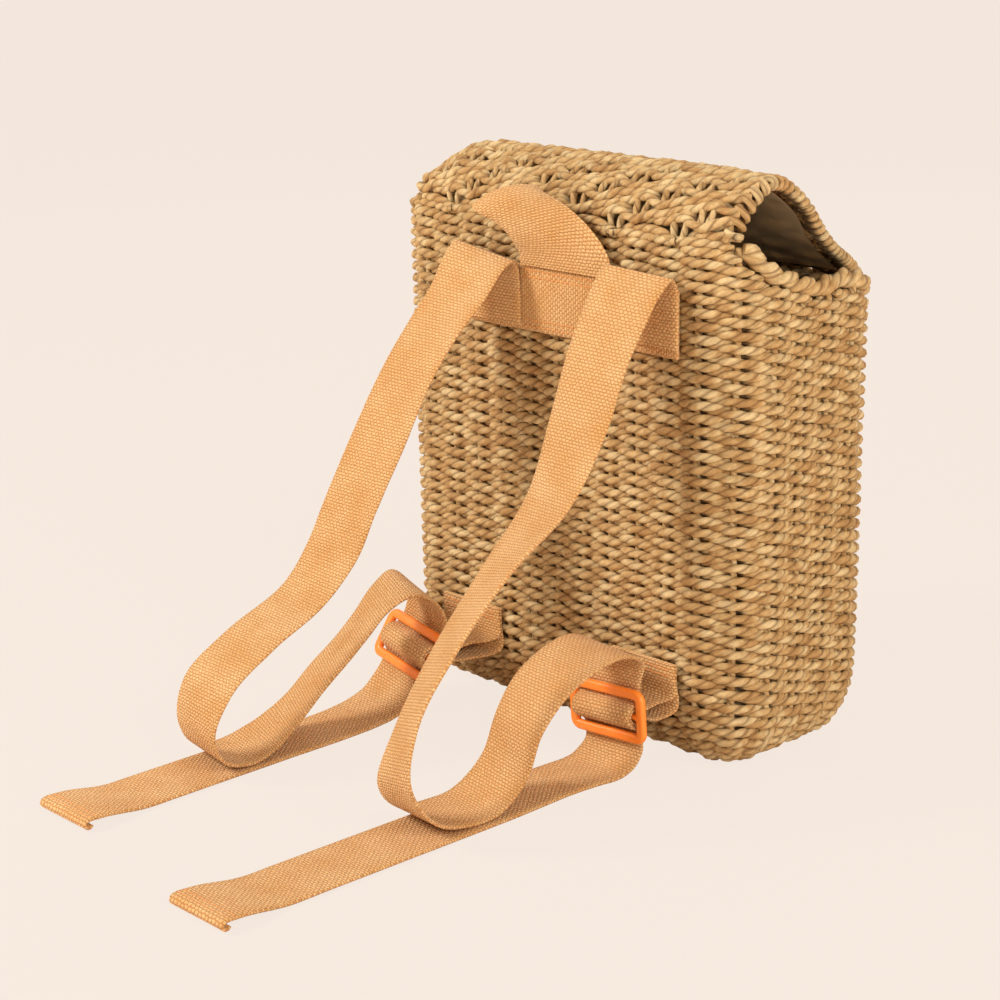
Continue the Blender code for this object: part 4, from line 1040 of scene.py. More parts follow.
@dataclass
class WovenLid:
    """The lid's open twining and its whipped edge."""

    shape: LidShape
    rope: bpy.types.Material
    tree: RopeTree
    gauge: RopeGauge = field(default_factory=lambda: RopeGauge(
        radius=2.3 * MM, depth=1.2 * MM, height=1.7 * MM))
    row_pitch: float = 7.7 * MM
    parting: float = 2.5 * MM
    lens: float = 38 * MM
    shift: float = 14 * MM
    step: float = 1.7 * MM

    def parted(self, x: Array, gap: int) -> Array:
        """Return how far a row bends away from the stake pairs of a gap, as a share."""
        return np.maximum(0, np.cos(2 * pi * (x + gap * self.shift) / self.lens)) ** 2

    def rows(self, guides: Guides, bits: Guides) -> None:
        """Add the rows and the stake pairs that show between them."""
        distances = np.arange(1.4 * MM, self.shape.total - 6 * MM, self.row_pitch)
        for index, distance in enumerate(distances):
            half = float(np.interp(distance, self.shape.lengths, self.shape.table[:, 2]))
            number = int(2 * half / self.step)
            inner = 1 - 3.2 * MM / half
            across = np.linspace(-inner, inner, number)
            x = across * half
            stray = wander(across * 1.5, 2000 + index, 0.4 * MM)
            if index:
                stray = stray + self.parting * self.parted(x, index - 1)
            stray = stray - self.parting * self.parted(x, index)
            points, outward, upward = self.shape.place(distance + stray, across, 2.3 * MM)
            way = 1 if index % 3 else -1
            turn = way * (pi * (x + index * self.shift) / self.lens
                          + wander(across * 4, 2100 + index, 0.2, 3))
            for strand in range(2):
                thick = 1 + wander(across * 4, 2200 + 2 * index + strand, 0.06)
                guides.add(points, outward, upward, turn + pi * strand, False, thick)
            if index + 1 < len(distances):
                self.stake_pairs(bits, index, float(distance), half)

    def stake_pairs(self, bits: Guides, index: int, distance: float, half: float) -> None:
        """Add the stake pairs between one row and the next."""
        chance = np.random.default_rng(2500 + index)
        first = -half - ((-half + index * self.shift) % self.lens)
        for middle in np.arange(first, half, self.lens):
            for side in (-1, 1):
                top = (middle + side * chance.uniform(1.6, 3.0) * MM) / half
                foot = (middle + side * chance.uniform(2.4, 5.0) * MM) / half
                if max(abs(top), abs(foot)) > 1 - 7 * MM / half:
                    continue
                number = 6
                share = np.linspace(0, 1, number)
                points, outward, upward = self.shape.place(
                    distance - 1.2 * MM + share * (self.row_pitch + 2.4 * MM),
                    top + (foot - top) * share, 2.4 * MM)
                bits.add(points, outward, upward, np.zeros(number), False, 0.9)

    def whipping(self, guides: Guides) -> None:
        """Add the rope that is whipped round the lid's side edges and hem."""
        total = self.shape.total
        path_distance = np.concatenate((np.linspace(2 * MM, total - 2.5 * MM, 400),
                                        np.full(300, total - 2.5 * MM),
                                        np.linspace(total - 2.5 * MM, 2 * MM, 400)))
        path_across = np.concatenate((np.full(400, 1.0), np.linspace(1.0, -1.0, 300),
                                      np.full(400, -1.0)))
        half = np.interp(path_distance, self.shape.lengths, self.shape.table[:, 2])
        inside = path_across * (1 - 2.6 * MM / half)
        points, outward, _ = self.shape.place(path_distance, inside, 2.3 * MM)
        run = unit(np.gradient(points, axis=0))
        upward = unit(np.cross(outward, run))
        length = np.concatenate(([0.0], np.cumsum(np.linalg.norm(np.diff(points, axis=0),
                                                                  axis=1))))
        number = int(length[-1] / (0.42 * MM))
        even = np.linspace(0, length[-1], number)
        read = [np.stack([np.interp(even, length, table[:, axis]) for axis in range(3)], axis=1)
                for table in (points, outward, upward)]
        turn = 2 * pi * even / (4.9 * MM) + wander(even / (60 * MM), 2600, 0.9, 9)
        guides.add(read[0], unit(read[1]), unit(read[2]), turn, False)

    def build(self) -> list[bpy.types.Object]:
        """Weave the lid and whip its edge."""
        rows, bits, edge = Guides(), Guides(), Guides()
        self.rows(rows, bits)
        self.whipping(edge)
        tree = self.tree.build()
        weave = apply_tree("lid_weave", rows.mesh("lid_weave"), tree, self.gauge.values(self.rope))
        pairs = apply_tree("lid_stakes", bits.mesh("lid_stakes"), tree,
                           RopeGauge(radius=1.9 * MM, depth=0, height=0).values(self.rope))
        whip = apply_tree("lid_whipping", edge.mesh("lid_whipping"), tree,
                          RopeGauge(radius=1.85 * MM, depth=1.9 * MM, height=2.9 * MM,
                                    ply_pitch=12 * MM).values(self.rope))
        settle(weave, Body.LID, Slot.ROPE, "lid_flap")
        settle(pairs, Body.LID, Slot.ROPE)
        settle(whip, Body.LID, Slot.BORDER, "lid_edge_cord")
        return [weave, pairs, whip]


def grid_piece(name: str, grid: Array, closed: bool, thickness: float,
               material: bpy.types.Material) -> bpy.types.Object:
    """Build a cloth shell from a grid of points.

    Args:
        name: The piece's name.
        grid: Rows of points.
        closed: Whether each row joins up.
        thickness: The cloth's thickness, laid on the inner side.
        material: The cloth's material.

    Returns:
        The piece.
    """
    shape = bmesh.new()
    made = [[shape.verts.new(point) for point in row] for row in grid]
    count = len(grid[0])
    for lower, upper in zip(made, made[1:]):
        for index in range(count if closed else count - 1):
            following = (index + 1) % count
            shape.faces.new((lower[index], lower[following], upper[following], upper[index]))
    bmesh.ops.solidify(shape, geom=shape.faces[:], thickness=thickness)
    bmesh.ops.recalc_face_normals(shape, faces=shape.faces[:])
    mesh = bpy.data.meshes.new(name)
    shape.to_mesh(mesh)
    shape.free()
    mesh.materials.append(material)
    mesh.shade_smooth()
    mesh.set_sharp_from_angle(angle=radians(50))
    return link_piece(name, mesh)


@dataclass
class Lining:
    """The cotton lining of the body and the lid."""

    body: BodyShape
    lid: LidShape
    cloth: bpy.types.Material
    hem_drop: float = 3.0 * MM
    thickness: float = 0.8 * MM

    def build(self) -> list[bpy.types.Object]:
        """Sew the lining's three pieces."""
        return [self.wall(), self.bottom(), self.lid_cloth()]

    def wall(self) -> bpy.types.Object:
        """Build the lining of the wall."""
        foot = self.body.foot_length()
        share = np.arange(150) / 150
        flat, _ = self.body.outline(2.65 * MM, share)
        top = self.body.wall_top(flat[:, 1]) - self.hem_drop - self.body.turn_up + foot
        grid = []
        for part in np.linspace(0, 1, 34):
            distance = 4.5 * MM + (top - 4.5 * MM) * part
            ripple = wander(share * 8, 3000, 0.5 * MM) * part ** 6
            points, outward, _ = self.body.place(share, distance, 6.6 * MM)
            grid.append(points - outward * (0.5 * MM + ripple)[:, None])
        piece = grid_piece("lining_body", np.array(grid), True, self.thickness, self.cloth)
        settle(piece, Body.BASKET, Slot.LINING, "lining_wall")
        length = self.body.perimeter(6 * MM)
        return piece

    def bottom(self) -> bpy.types.Object:
        """Build the lining of the bottom."""
        share = np.arange(150) / 150
        grid = []
        for part in np.linspace(0, 1, 10):
            flat, _ = self.body.outline(27 * MM, share)
            rise = 0.4 * MM * np.sin(8 * pi * share) * part * (1 - part)
            grid.append(np.column_stack((flat * (1 - part * 0.995), 5.9 * MM + rise)))
        piece = grid_piece("lining_bottom", np.array(grid), True, self.thickness, self.cloth)
        settle(piece, Body.BASKET, Slot.LINING, "lining_base")
        return piece

    def lid_cloth(self) -> bpy.types.Object:
        """Build the lining under the lid."""
        across = np.linspace(-0.945, 0.945, 60)
        first = 0.8 * MM + 4.2 * MM * smooth_step((0.3 - across) / 0.4)
        grid = []
        for part in np.linspace(0, 1, 64):
            distance = first + (132 * MM - first) * part
            edge = wander(np.array([2.2 * part]), 3100, 0.008)[0]
            points, outward, _ = self.lid.place(distance, across * (1 + edge),
                                                self.lid.thickness + 1.7 * MM)
            sag = 0.7 * MM * (1 - across ** 2) * np.sin(distance / (9 * MM))
            grid.append(points - outward * np.abs(sag)[:, None])
        piece = grid_piece("lining_lid", np.array(grid), False, self.thickness, self.cloth)
        settle(piece, Body.LID, Slot.LINING, "lid_lining")
        return piece


@dataclass(frozen=True)
class StrapSide:
    """One shoulder strap's route, and where its buckle, tab and tail lie."""

    name: str
    route: Rows
    across_share: float
    out_share: float
    up_share: float
    tilt: float
    turn: float
    roll: float
    tab_share: float
    settle: float
    reach: float
    hem_share: float
    seed: int


LEFT_ROUTE: Rows = [
    (-0.500, 0.020, 0.856, 0.00, 0.00), (-0.500, 0.020, 0.929, 0.00, 0.00),
    (-0.500, 0.036, 0.985, 0.06, 0.03), (-0.500, 0.056, 0.998, 0.12, 0.08),
    (-0.496, 0.083, 0.983, 0.10, 0.08), (-0.486, 0.134, 0.929, 0.05, 0.05),
    (-0.473, 0.197, 0.847, 0.00, 0.02), (-0.455, 0.253, 0.737, -0.04, 0.00),
    (-0.430, 0.362, 0.587, -0.25, -0.08), (-0.405, 0.529, 0.484, -0.36, -0.28),
    (-0.380, 0.718, 0.346, -0.44, -0.36), (-0.357, 0.841, 0.219, -0.48, -0.36),
    (-0.340, 0.878, 0.111, -0.30, -0.26), (-0.330, 0.794, 0.034, -0.20, -0.10),
    (-0.327, 0.688, 0.015, -0.15, -0.01), (-0.335, 0.594, 0.018, -0.13, 0.00),
    (-0.357, 0.497, 0.070, -0.17, 0.00), (-0.376, 0.445, 0.158, -0.18, 0.00),
    (-0.393, 0.384, 0.213, -0.08, 0.00), (-0.408, 0.271, 0.256, 0.00, 0.03),
    (-0.410, 0.163, 0.265, 0.00, 0.06), (-0.405, 0.087, 0.238, 0.00, 0.04)]
RIGHT_ROUTE: Rows = [
    (0.500, 0.020, 0.847, 0.00, 0.00), (0.500, 0.020, 0.921, 0.00, 0.00),
    (0.500, 0.036, 0.976, 0.05, 0.10), (0.500, 0.055, 0.990, 0.10, 0.18),
    (0.505, 0.083, 0.976, 0.08, 0.14), (0.524, 0.141, 0.916, 0.03, 0.06),
    (0.557, 0.219, 0.849, -0.02, 0.00), (0.594, 0.291, 0.774, -0.04, 0.00),
    (0.653, 0.400, 0.621, 0.02, 0.00), (0.700, 0.481, 0.500, 0.00, 0.00),
    (0.735, 0.534, 0.412, 0.00, 0.00), (0.770, 0.616, 0.337, -0.10, 0.00),
    (0.820, 0.804, 0.259, -0.02, 0.00), (0.861, 0.938, 0.182, -0.02, 0.00),
    (0.890, 0.972, 0.096, -0.16, 0.00), (0.910, 0.925, 0.036, -0.16, 0.00),
    (0.918, 0.844, 0.015, -0.12, 0.00), (0.912, 0.738, 0.028, -0.28, 0.00),
    (0.903, 0.631, 0.067, -0.50, 0.00), (0.896, 0.525, 0.125, -0.55, 0.00),
    (0.890, 0.434, 0.169, -0.58, 0.00), (0.884, 0.362, 0.210, -0.56, 0.00),
    (0.878, 0.284, 0.257, -0.50, 0.02), (0.867, 0.206, 0.278, -0.40, 0.08),
    (0.860, 0.141, 0.251, -0.30, 0.06)]
LEFT_SIDE = StrapSide("left", LEFT_ROUTE, -0.398, 0.115, 0.122, 0.0, 0.0, radians(4), -0.46,
                      20 * MM, 227 * MM, -0.342, 1)
RIGHT_SIDE = StrapSide("right", RIGHT_ROUTE, 0.908, 0.162, 0.126, radians(28), radians(-7),
                       radians(-6), 0.71, 44 * MM, 196 * MM, 0.886, 2)


@dataclass
class Webbing:
    """The straps, tabs, hang loop and patch, cut from woven webbing."""

    body: BodyShape
    cloth: bpy.types.Material
    width: float = 36 * MM
    thickness: float = 1.5 * MM
    spacing: float = 226 * MM * 0.4336
    group_x: float = -14 * MM
    loop_reach: float = 160 * MM
    fold_height: float = 228 * MM
    patch_width: float = 130 * MM
    patch_height: float = 30.6 * MM
    patch_thickness: float = 1.8 * MM
    patch_top: float = 221.2 * MM
    tail_share: float = 0.94
    hem_radius: float = 1.7 * MM
    hem_flat: float = 6 * MM
    hem_lift: float = 26 * MM
    hem_steps: int = 7
    gap: float = 0.3 * MM
    buckle_height: float = 24.6 * MM
    buckle_bar: float = 4.4 * MM
    centre_bar: float = 3.2 * MM
    buckle_thickness: float = 3.4 * MM
    buckle_play: float = 0.5 * MM
    tab_width: float = 40 * MM
    tab_loop_width: float = 35.6 * MM
    tab_thickness: float = 1.2 * MM
    tab_top: float = 51 * MM
    tab_bottom: float = 35 * MM
    hang_middle: float = -12.5 * MM
    hang_reach: float = 14 * MM
    hang_height: float = 34.5 * MM
    hang_shares: Rows = field(default_factory=lambda: [
        (0.00, 0.23, 0.00, 0.00, 0.00, 1.62, 0.0), (-0.02, 0.38, 0.22, 0.03, -0.05, 1.54, 0.0),
        (0.12, 0.58, 0.48, 0.10, -0.22, 1.28, 0.1), (0.43, 0.78, 0.74, 0.22, -0.33, 1.04, 0.5),
        (0.76, 0.86, 0.86, 0.32, -0.34, 1.0, 1.0), (0.90, 0.66, 0.89, 0.28, -0.32, 1.0, 1.2),
        (0.84, 0.38, 0.80, 0.14, -0.34, 1.0, 1.0), (0.60, 0.17, 0.62, 0.03, -0.32, 1.05, 0.4),
        (0.24, 0.095, 0.34, 0.00, -0.18, 1.18, 0.0), (0.00, 0.085, 0.00, 0.00, 0.00, 1.30, 0.0)])
    hang_crown: float = 3.2 * MM

    def centre(self, side: StrapSide) -> Vector:
        """Return the middle of a buckle's centre bar."""
        return Vector((self.group_x + side.across_share * self.spacing,
                       self.body.depth / 2 + side.out_share * self.loop_reach,
                       side.up_share * self.fold_height))

    def axes(self, side: StrapSide) -> tuple[Vector, Vector, Vector]:
        """Return a buckle's across, out and up directions."""
        turned = Matrix.Rotation(side.turn, 3, "Z") @ Matrix.Rotation(side.roll, 3, "Y")
        frame = turned @ Matrix.Rotation(side.tilt, 3, "X")
        return frame.col[0].copy(), frame.col[1].copy(), frame.col[2].copy()

    def place(self, side: StrapSide, out: float, up: float) -> Vector:
        """Return the point at distances out of and up a buckle's plane."""
        _, outward, upward = self.axes(side)
        return self.centre(side) + outward * out + upward * up

    def leans(self, side: StrapSide) -> tuple[float, float]:
        """Return how far a buckle's bars lean out and up for each unit across."""
        across, _, _ = self.axes(side)
        return across.y / across.x, across.z / across.x

    def radii(self) -> tuple[float, float, float]:
        """Return the radii about the centre bar: the tab's inner and outer face, the strap."""
        inner = hypot(self.centre_bar / 2, self.buckle_thickness / 2) + self.gap
        outer = inner + self.tab_thickness
        return inner, outer, outer + self.gap + self.thickness / 2

    def pass_points(self) -> list[tuple[float, float]]:
        """Return the strap's path through the buckle, out of and up its plane."""
        bevel = self.buckle_thickness * 0.42
        slot = (self.buckle_height - 2 * self.buckle_bar - self.centre_bar) / 2
        _, _, front_radius = self.radii()
        back_radius = bevel + self.gap + self.buckle_play + self.thickness / 2
        corner_out = bevel - self.buckle_thickness / 2
        corner_up = self.centre_bar / 2 + slot + bevel
        apart = hypot(corner_out, corner_up)
        crossing = acos((front_radius + back_radius) / apart) + atan2(-corner_out, corner_up)
        back = corner_out - back_radius
        turn = pi / 2 - crossing
        upper = [(back, self.buckle_height / 2),
                 (back, (self.buckle_height / 2 + corner_up) / 2)]
        for step in range(3):
            angle = pi + turn * step / 2
            upper.append((corner_out + back_radius * cos(angle),
                          corner_up + back_radius * sin(angle)))
        front = [(front_radius * cos(turn * share), front_radius * sin(turn * share))
                 for share in (1, 0.5, 0)]
        half = upper + front
        lower = [(out, -up) for out, up in reversed(half[:-1])]
        return half + lower + [(back, -self.buckle_height / 2 - self.thickness)]

    def tail_rows(self, side: StrapSide) -> Rows:
        """Return a tail's rows, from under its buckle to its rolled hem."""
        out, up = self.pass_points()[-1]
        lean_out, lean_up = self.leans(side)
        start = self.place(side, out, up - self.thickness)
        floor = self.thickness / 2 + self.gap
        hem_x = self.group_x + side.hem_share * self.spacing
        end_y = start.y + side.reach
        rows = [(*start, lean_out, lean_up, 1.0)]
        for share, height_share in ((0.22, 0.36), (0.45, 0.12), (0.72, 0.02), (1.0, 0.0)):
            fade = height_share ** 2
            rows.append((start.x + (hem_x - start.x) * share * 0.6,
                         start.y + side.settle * share,
                         floor + (start.z - floor) * height_share, lean_out * fade,
                         lean_up * fade, 1.0 + (self.tail_share - 1.0) * share))
        settled_x, settled_y = rows[-1][:2]
        run = end_y - settled_y
        roll = floor + 2 * self.hem_radius
        flat_share = 1 - self.hem_flat / run
        lift_share = flat_share - self.hem_lift / run
        for share, height, width_share in (
                (lift_share / 3, floor, self.tail_share),
                (lift_share * 0.9, floor, self.tail_share),
                (lift_share, floor, self.tail_share), (flat_share, roll, 1.0),
                (1.0, roll, 1.0)):
            rows.append((settled_x + (hem_x - settled_x) * share, settled_y + run * share,
                         height, 0.0, 0.0, width_share))
        for step in range(1, self.hem_steps + 1):
            angle = radians(90) - radians(250) * step / self.hem_steps
            rows.append((hem_x, end_y + self.hem_radius * cos(angle),
                         floor + self.hem_radius * (1 + sin(angle)), 0.0, 0.0, 1.0))
        return rows

    def strap_rows(self, side: StrapSide) -> Rows:
        """Return a strap's rows from its sewn end through the buckle to its hem."""
        rows = [(self.group_x + across * self.spacing,
                 self.body.depth / 2 + out * self.loop_reach, up * self.fold_height,
                 lean_out, lean_up, 1.0) for across, out, up, lean_out, lean_up in side.route]
        rows += [(*self.place(side, out, up), *self.leans(side), 1.0)
                 for out, up in self.pass_points()]
        return rows + self.tail_rows(side)

    def tab_rows(self, side: StrapSide) -> Rows:
        """Return a tab's rows: sewn to the wall, round the buckle's centre bar and back."""
        inner, outer, _ = self.radii()
        radius = (inner + outer) / 2
        lean_out, lean_up = self.leans(side)
        centre = self.centre(side)
        first = self.body.depth / 2 + self.gap + self.tab_thickness / 2
        second = first + self.tab_thickness + self.gap
        tab_x = self.group_x + side.tab_share * self.spacing
        wall = centre.z + radius
        broad = self.tab_width / self.width
        narrow = self.tab_loop_width / self.width
        reach = (centre.y - first) / 2
        rows = [(tab_x, first, self.tab_top, 0.0, 0.0, broad),
                (tab_x, first, (self.tab_top + self.tab_bottom) / 2, 0.0, 0.0, broad),
                (tab_x, first + self.gap, wall - radius * 0.6, 0.0, 0.0, broad),
                ((tab_x + centre.x) / 2, first + reach * 0.7, centre.z - radius * 0.95,
                 lean_out / 2, lean_up / 2, narrow)]
        for step in range(9):
            angle = radians(-140) + radians(280) * step / 8
            spot = self.place(side, radius * cos(angle), radius * sin(angle))
            rows.append((*spot, lean_out, lean_up, narrow))
        rows += [((tab_x + centre.x) / 2, second + reach * 0.62, wall + radius * 0.45,
                  lean_out / 2, lean_up / 2, narrow),
                 (tab_x, second + self.gap, wall + radius * 1.6, 0.0, 0.0, broad),
                 (tab_x, second, self.tab_top - (self.tab_top - self.tab_bottom) * 0.25,
                  0.0, 0.0, broad),
                 (tab_x, second, self.tab_top, 0.0, 0.0, broad)]
        return rows

    def ribbon(self, name: str, rows: Rows, thickness: float, seed: int,
               steps: int = 6) -> tuple[bpy.types.Object, float]:
        """Build a strip of webbing along its rows.

        Args:
            name: The piece's name.
            rows: Rows of centre, leans out and up, and share of the webbing's width.
            thickness: The webbing's thickness.
            seed: The number of its uneven edge.
            steps: How many sections stand between one row and the next.

        Returns:
            The piece and the length of its centre line.
        """
        table = np.array(spline_rows(rows, steps))
        centre = table[:, :3]
        keep = np.concatenate(([True], np.linalg.norm(np.diff(centre, axis=0), axis=1)
                               > 0.05 * MM))
        table, centre = table[keep], centre[keep]
        length = np.concatenate(([0.0], np.cumsum(np.linalg.norm(np.diff(centre, axis=0),
                                                                  axis=1))))
        across = unit(np.column_stack((np.ones(len(table)), table[:, 3], table[:, 4])))
        along = unit(np.gradient(centre, axis=0))
        normal = unit(np.cross(across, along))
        half = table[:, 5] * self.width / 2 + wander(length / 0.045, seed, 0.12 * MM)
        edge = [(-1.0, 0.0)] + [(share, 1.0) for share in np.linspace(-0.97, 0.97, 13)] \
            + [(1.0, 0.0)] + [(share, -1.0) for share in np.linspace(0.97, -0.97, 13)]
        section = np.array(edge)
        crown = table[:, 6] * self.hang_crown if table.shape[1] > 6 else np.zeros(len(table))
        lift = crown[:, None] * (1 - section[None, :, 0] ** 2)
        rings = (centre[:, None, :] + lift[:, :, None] * np.array((0, 0, 1.0))
                 + across[:, None, :] * (half[:, None] * section[None, :, 0])[:, :, None]
                 + normal[:, None, :] * (thickness / 2 * section[None, :, 1])[:, :, None])
        count = len(section)
        shape = bmesh.new()
        made = [[shape.verts.new(point) for point in ring] for ring in rings]
        for lower, upper in zip(made, made[1:]):
            for index in range(count):
                following = (index + 1) % count
                shape.faces.new((lower[index], lower[following], upper[following], upper[index]))
        shape.faces.new(made[0])
        shape.faces.new(list(reversed(made[-1])))
        bmesh.ops.recalc_face_normals(shape, faces=shape.faces[:])
        mesh = bpy.data.meshes.new(name)
        shape.to_mesh(mesh)
        shape.free()
        place = np.zeros((len(rings), count, 3))
        place[:, :, 0] = length[:, None] / MM
        place[:, :, 1] = (half[:, None] * section[None, :, 0]) / MM
        layer = mesh.attributes.new("cloth", "FLOAT_VECTOR", "POINT")
        layer.data.foreach_set("vector", place.astype(np.float32).ravel())
        mesh.materials.append(self.cloth)
        mesh.shade_smooth()
        mesh.set_sharp_from_angle(angle=radians(60))
        return link_piece(name, mesh), float(length[-1])

    def patch(self) -> bpy.types.Object:
        """Build the patch sewn across the top of the back wall."""
        y = self.body.depth / 2 + self.gap + self.patch_thickness / 2
        middle = self.patch_top - self.patch_height / 2
        left = self.group_x - self.patch_width / 2
        columns = np.linspace(0, 1, 60)
        rows = 12
        half = self.patch_height / 2
        section = [(-1.0, 0.0)] + [(share, 1.0) for share in np.linspace(-0.96, 0.96, rows)] \
            + [(1.0, 0.0)] + [(share, -1.0) for share in np.linspace(0.96, -0.96, rows)]
        shape = bmesh.new()
        rings, places = [], []
        for share in columns:
            x = left + self.patch_width * share
            swell = wander(np.array([share * 2.5]), 60, 0.25 * MM)[0]
            ring = []
            for up, out in section:
                ring.append(shape.verts.new((x, y + out * self.patch_thickness / 2,
                                             middle + up * (half + swell * 0.6))))
                places.append((x / MM, up * half / MM, 0.0))
            rings.append(ring)
        count = len(section)
        for lower, upper in zip(rings, rings[1:]):
            for index in range(count):
                following = (index + 1) % count
                shape.faces.new((lower[index], lower[following], upper[following], upper[index]))
        shape.faces.new(rings[0])
        shape.faces.new(list(reversed(rings[-1])))
        bmesh.ops.recalc_face_normals(shape, faces=shape.faces[:])
        mesh = bpy.data.meshes.new("back_patch")
        shape.to_mesh(mesh)
        shape.free()
        layer = mesh.attributes.new("cloth", "FLOAT_VECTOR", "POINT")
        layer.data.foreach_set("vector", np.array(places, np.float32).ravel())
        mesh.materials.append(self.cloth)
        mesh.shade_smooth()
        mesh.set_sharp_from_angle(angle=radians(60))
        piece = settle(link_piece("back_patch", mesh), Body.BASKET, Slot.WEBBING, "anchor_patch")
        return piece

    def build(self) -> None:
        """Cut and lay every strip."""
        self.patch()
        top = self.patch_top + self.gap
        rows = [(self.hang_middle + across * self.width,
                 self.body.depth / 2 + out * self.hang_reach, top + up * self.hang_height,
                 lean_out, lean_up, share, crown)
                for across, out, up, lean_out, lean_up, share, crown in self.hang_shares]
        loop, length = self.ribbon("carrying_loop", rows, self.thickness, 11)
        settle(loop, Body.HANG_LOOP, Slot.WEBBING, "hang_loop")
        for side in (LEFT_SIDE, RIGHT_SIDE):
            strap, length = self.ribbon("strap_" + side.name, self.strap_rows(side),
                                        self.thickness, 20 + side.seed)
            settle(strap, Body.BASKET, Slot.WEBBING, "shoulder_strap_" + side.name)
            tab, length = self.ribbon("tab_" + side.name, self.tab_rows(side),
                                      self.tab_thickness, 30 + side.seed)
            settle(tab, Body.BASKET, Slot.WEBBING, "lower_tab_" + side.name)


@dataclass
class StitchTree:
    """The Geometry Nodes tree that sews single stitches along lines."""

    name: str = "lockstitch"
    tree: bpy.types.NodeTree | None = None

    def build(self) -> bpy.types.NodeTree:
        """Build the tree once and return it."""
        if self.tree:
            return self.tree
        tree = bpy.data.node_groups.new(self.name, "GeometryNodeTree")
        for label, kind, value in (
                ("Lines", "NodeSocketGeometry", None), ("Pitch", "NodeSocketFloat", 3 * MM),
                ("Stitch Length", "NodeSocketFloat", 2.3 * MM),
                ("Thread Radius", "NodeSocketFloat", 0.35 * MM),
                ("Material", "NodeSocketMaterial", None)):
            socket = tree.interface.new_socket(name=label, in_out="INPUT", socket_type=kind)
            if value is not None:
                socket.default_value = value
        tree.interface.new_socket(name="Stitches", in_out="OUTPUT",
                                  socket_type="NodeSocketGeometry")
        given = tree.nodes.new("NodeGroupInput").outputs
        line = add_node(tree, "GeometryNodeMeshToCurve", {"Mesh": given["Lines"]})
        spots = add_node(tree, "GeometryNodeCurveToPoints",
                         {"Curve": line.outputs[0], "Length": given["Pitch"]}, mode="LENGTH")
        thread = add_node(tree, "GeometryNodeMeshUVSphere",
                          {"Segments": 6, "Rings": 5, "Radius": 1.0})
        half = add_node(tree, "ShaderNodeMath", {0: given["Stitch Length"], 1: 0.5},
                        operation="MULTIPLY")
        size = add_node(tree, "ShaderNodeCombineXYZ",
                        {0: given["Thread Radius"], 1: given["Thread Radius"],
                         2: half.outputs[0]})
        stitches = add_node(tree, "GeometryNodeInstanceOnPoints",
                            {"Points": spots.outputs["Points"], "Instance": thread.outputs[0],
                             "Rotation": spots.outputs["Rotation"], "Scale": size.outputs[0]})
        real = add_node(tree, "GeometryNodeRealizeInstances", {"Geometry": stitches.outputs[0]})
        smooth = add_node(tree, "GeometryNodeSetShadeSmooth", {"Geometry": real.outputs[0]})
        dressed = add_node(tree, "GeometryNodeSetMaterial",
                           {"Geometry": smooth.outputs[0], "Material": given["Material"]})
        add_node(tree, "NodeGroupOutput", {"Stitches": dressed.outputs[0]})
        self.tree = tree
        return tree


@dataclass
class Stitching:
    """The double rows of stitches on the patch, the hems and the tabs."""

    webbing: Webbing
    thread: bpy.types.Material
    tree: StitchTree = field(default_factory=StitchTree)
    line_spacing: float = 3 * MM
    edge_inset: float = 2.4 * MM
    radius: float = 0.35 * MM

    def sew(self, name: str, lines: list[Array], node: str) -> bpy.types.Object:
        """Sew stitches along lines.

        Args:
            name: The piece's name.
            lines: The points of each line.
            node: The CAD node that the piece stands for.

        Returns:
            The piece.
        """
        mesh = bpy.data.meshes.new(name)
        points, edges, count = [], [], 0
        for line in lines:
            points += [tuple(point) for point in line]
            edges += [(count + step, count + step + 1) for step in range(len(line) - 1)]
            count += len(line)
        mesh.from_pydata(points, edges, [])
        piece = apply_tree(name, mesh, self.tree.build(),
                           {"Pitch": 3 * MM, "Stitch Length": 2.5 * MM,
                            "Thread Radius": self.radius, "Material": self.thread})
        return settle(piece, Body.BASKET, Slot.THREAD, node)

    def build(self) -> None:
        """Sew the patch, the hems and the tabs."""
        web = self.webbing
        face = web.body.depth / 2 + web.gap + web.patch_thickness + 0.12 * MM
        half = (web.spacing - web.width) / 2 - self.edge_inset
        inset = self.edge_inset
        top, low = web.patch_top - inset, web.patch_top - web.patch_height + inset
        for name, heights in (("top", (top, top - self.line_spacing)),
                              ("bottom", (low, low + self.line_spacing))):
            lines = []
            for number, height in enumerate(heights):
                share = np.linspace(-1, 1, 24)
                wave = wander(share, 4000 + number, 0.25 * MM)
                lines.append(np.column_stack((web.group_x + half * share,
                                              np.full(24, face), height + wave)))
            self.sew("patch_stitches_" + name, lines, "patch_stitching_" + name)
        for side in (LEFT_SIDE, RIGHT_SIDE):
            hem = np.array(web.strap_rows(side)[-web.hem_steps - 1][:3])
            run = web.width / 2 - self.edge_inset
            share = np.linspace(-1, 1, 8)
            lines = []
            for back in (1.5 * MM, 1.5 * MM + self.line_spacing):
                lines.append(np.column_stack((hem[0] + run * share, np.full(8, hem[1] - back),
                                              np.full(8, hem[2] + web.thickness / 2
                                                      + 0.1 * MM))))
            self.sew("hem_stitches_" + side.name, lines, "hem_stitching_" + side.name)
            face = web.body.depth / 2 + 2 * (web.gap + web.tab_thickness) + 0.12 * MM
            tab_x = web.group_x + side.tab_share * web.spacing
            lines = []
            for down in (0.0, self.line_spacing):
                lines.append(np.column_stack((tab_x + run * share, np.full(8, face),
                                              np.full(8, web.tab_top - inset - down))))
            self.sew("tab_stitches_" + side.name, lines, "tab_stitching_" + side.name)


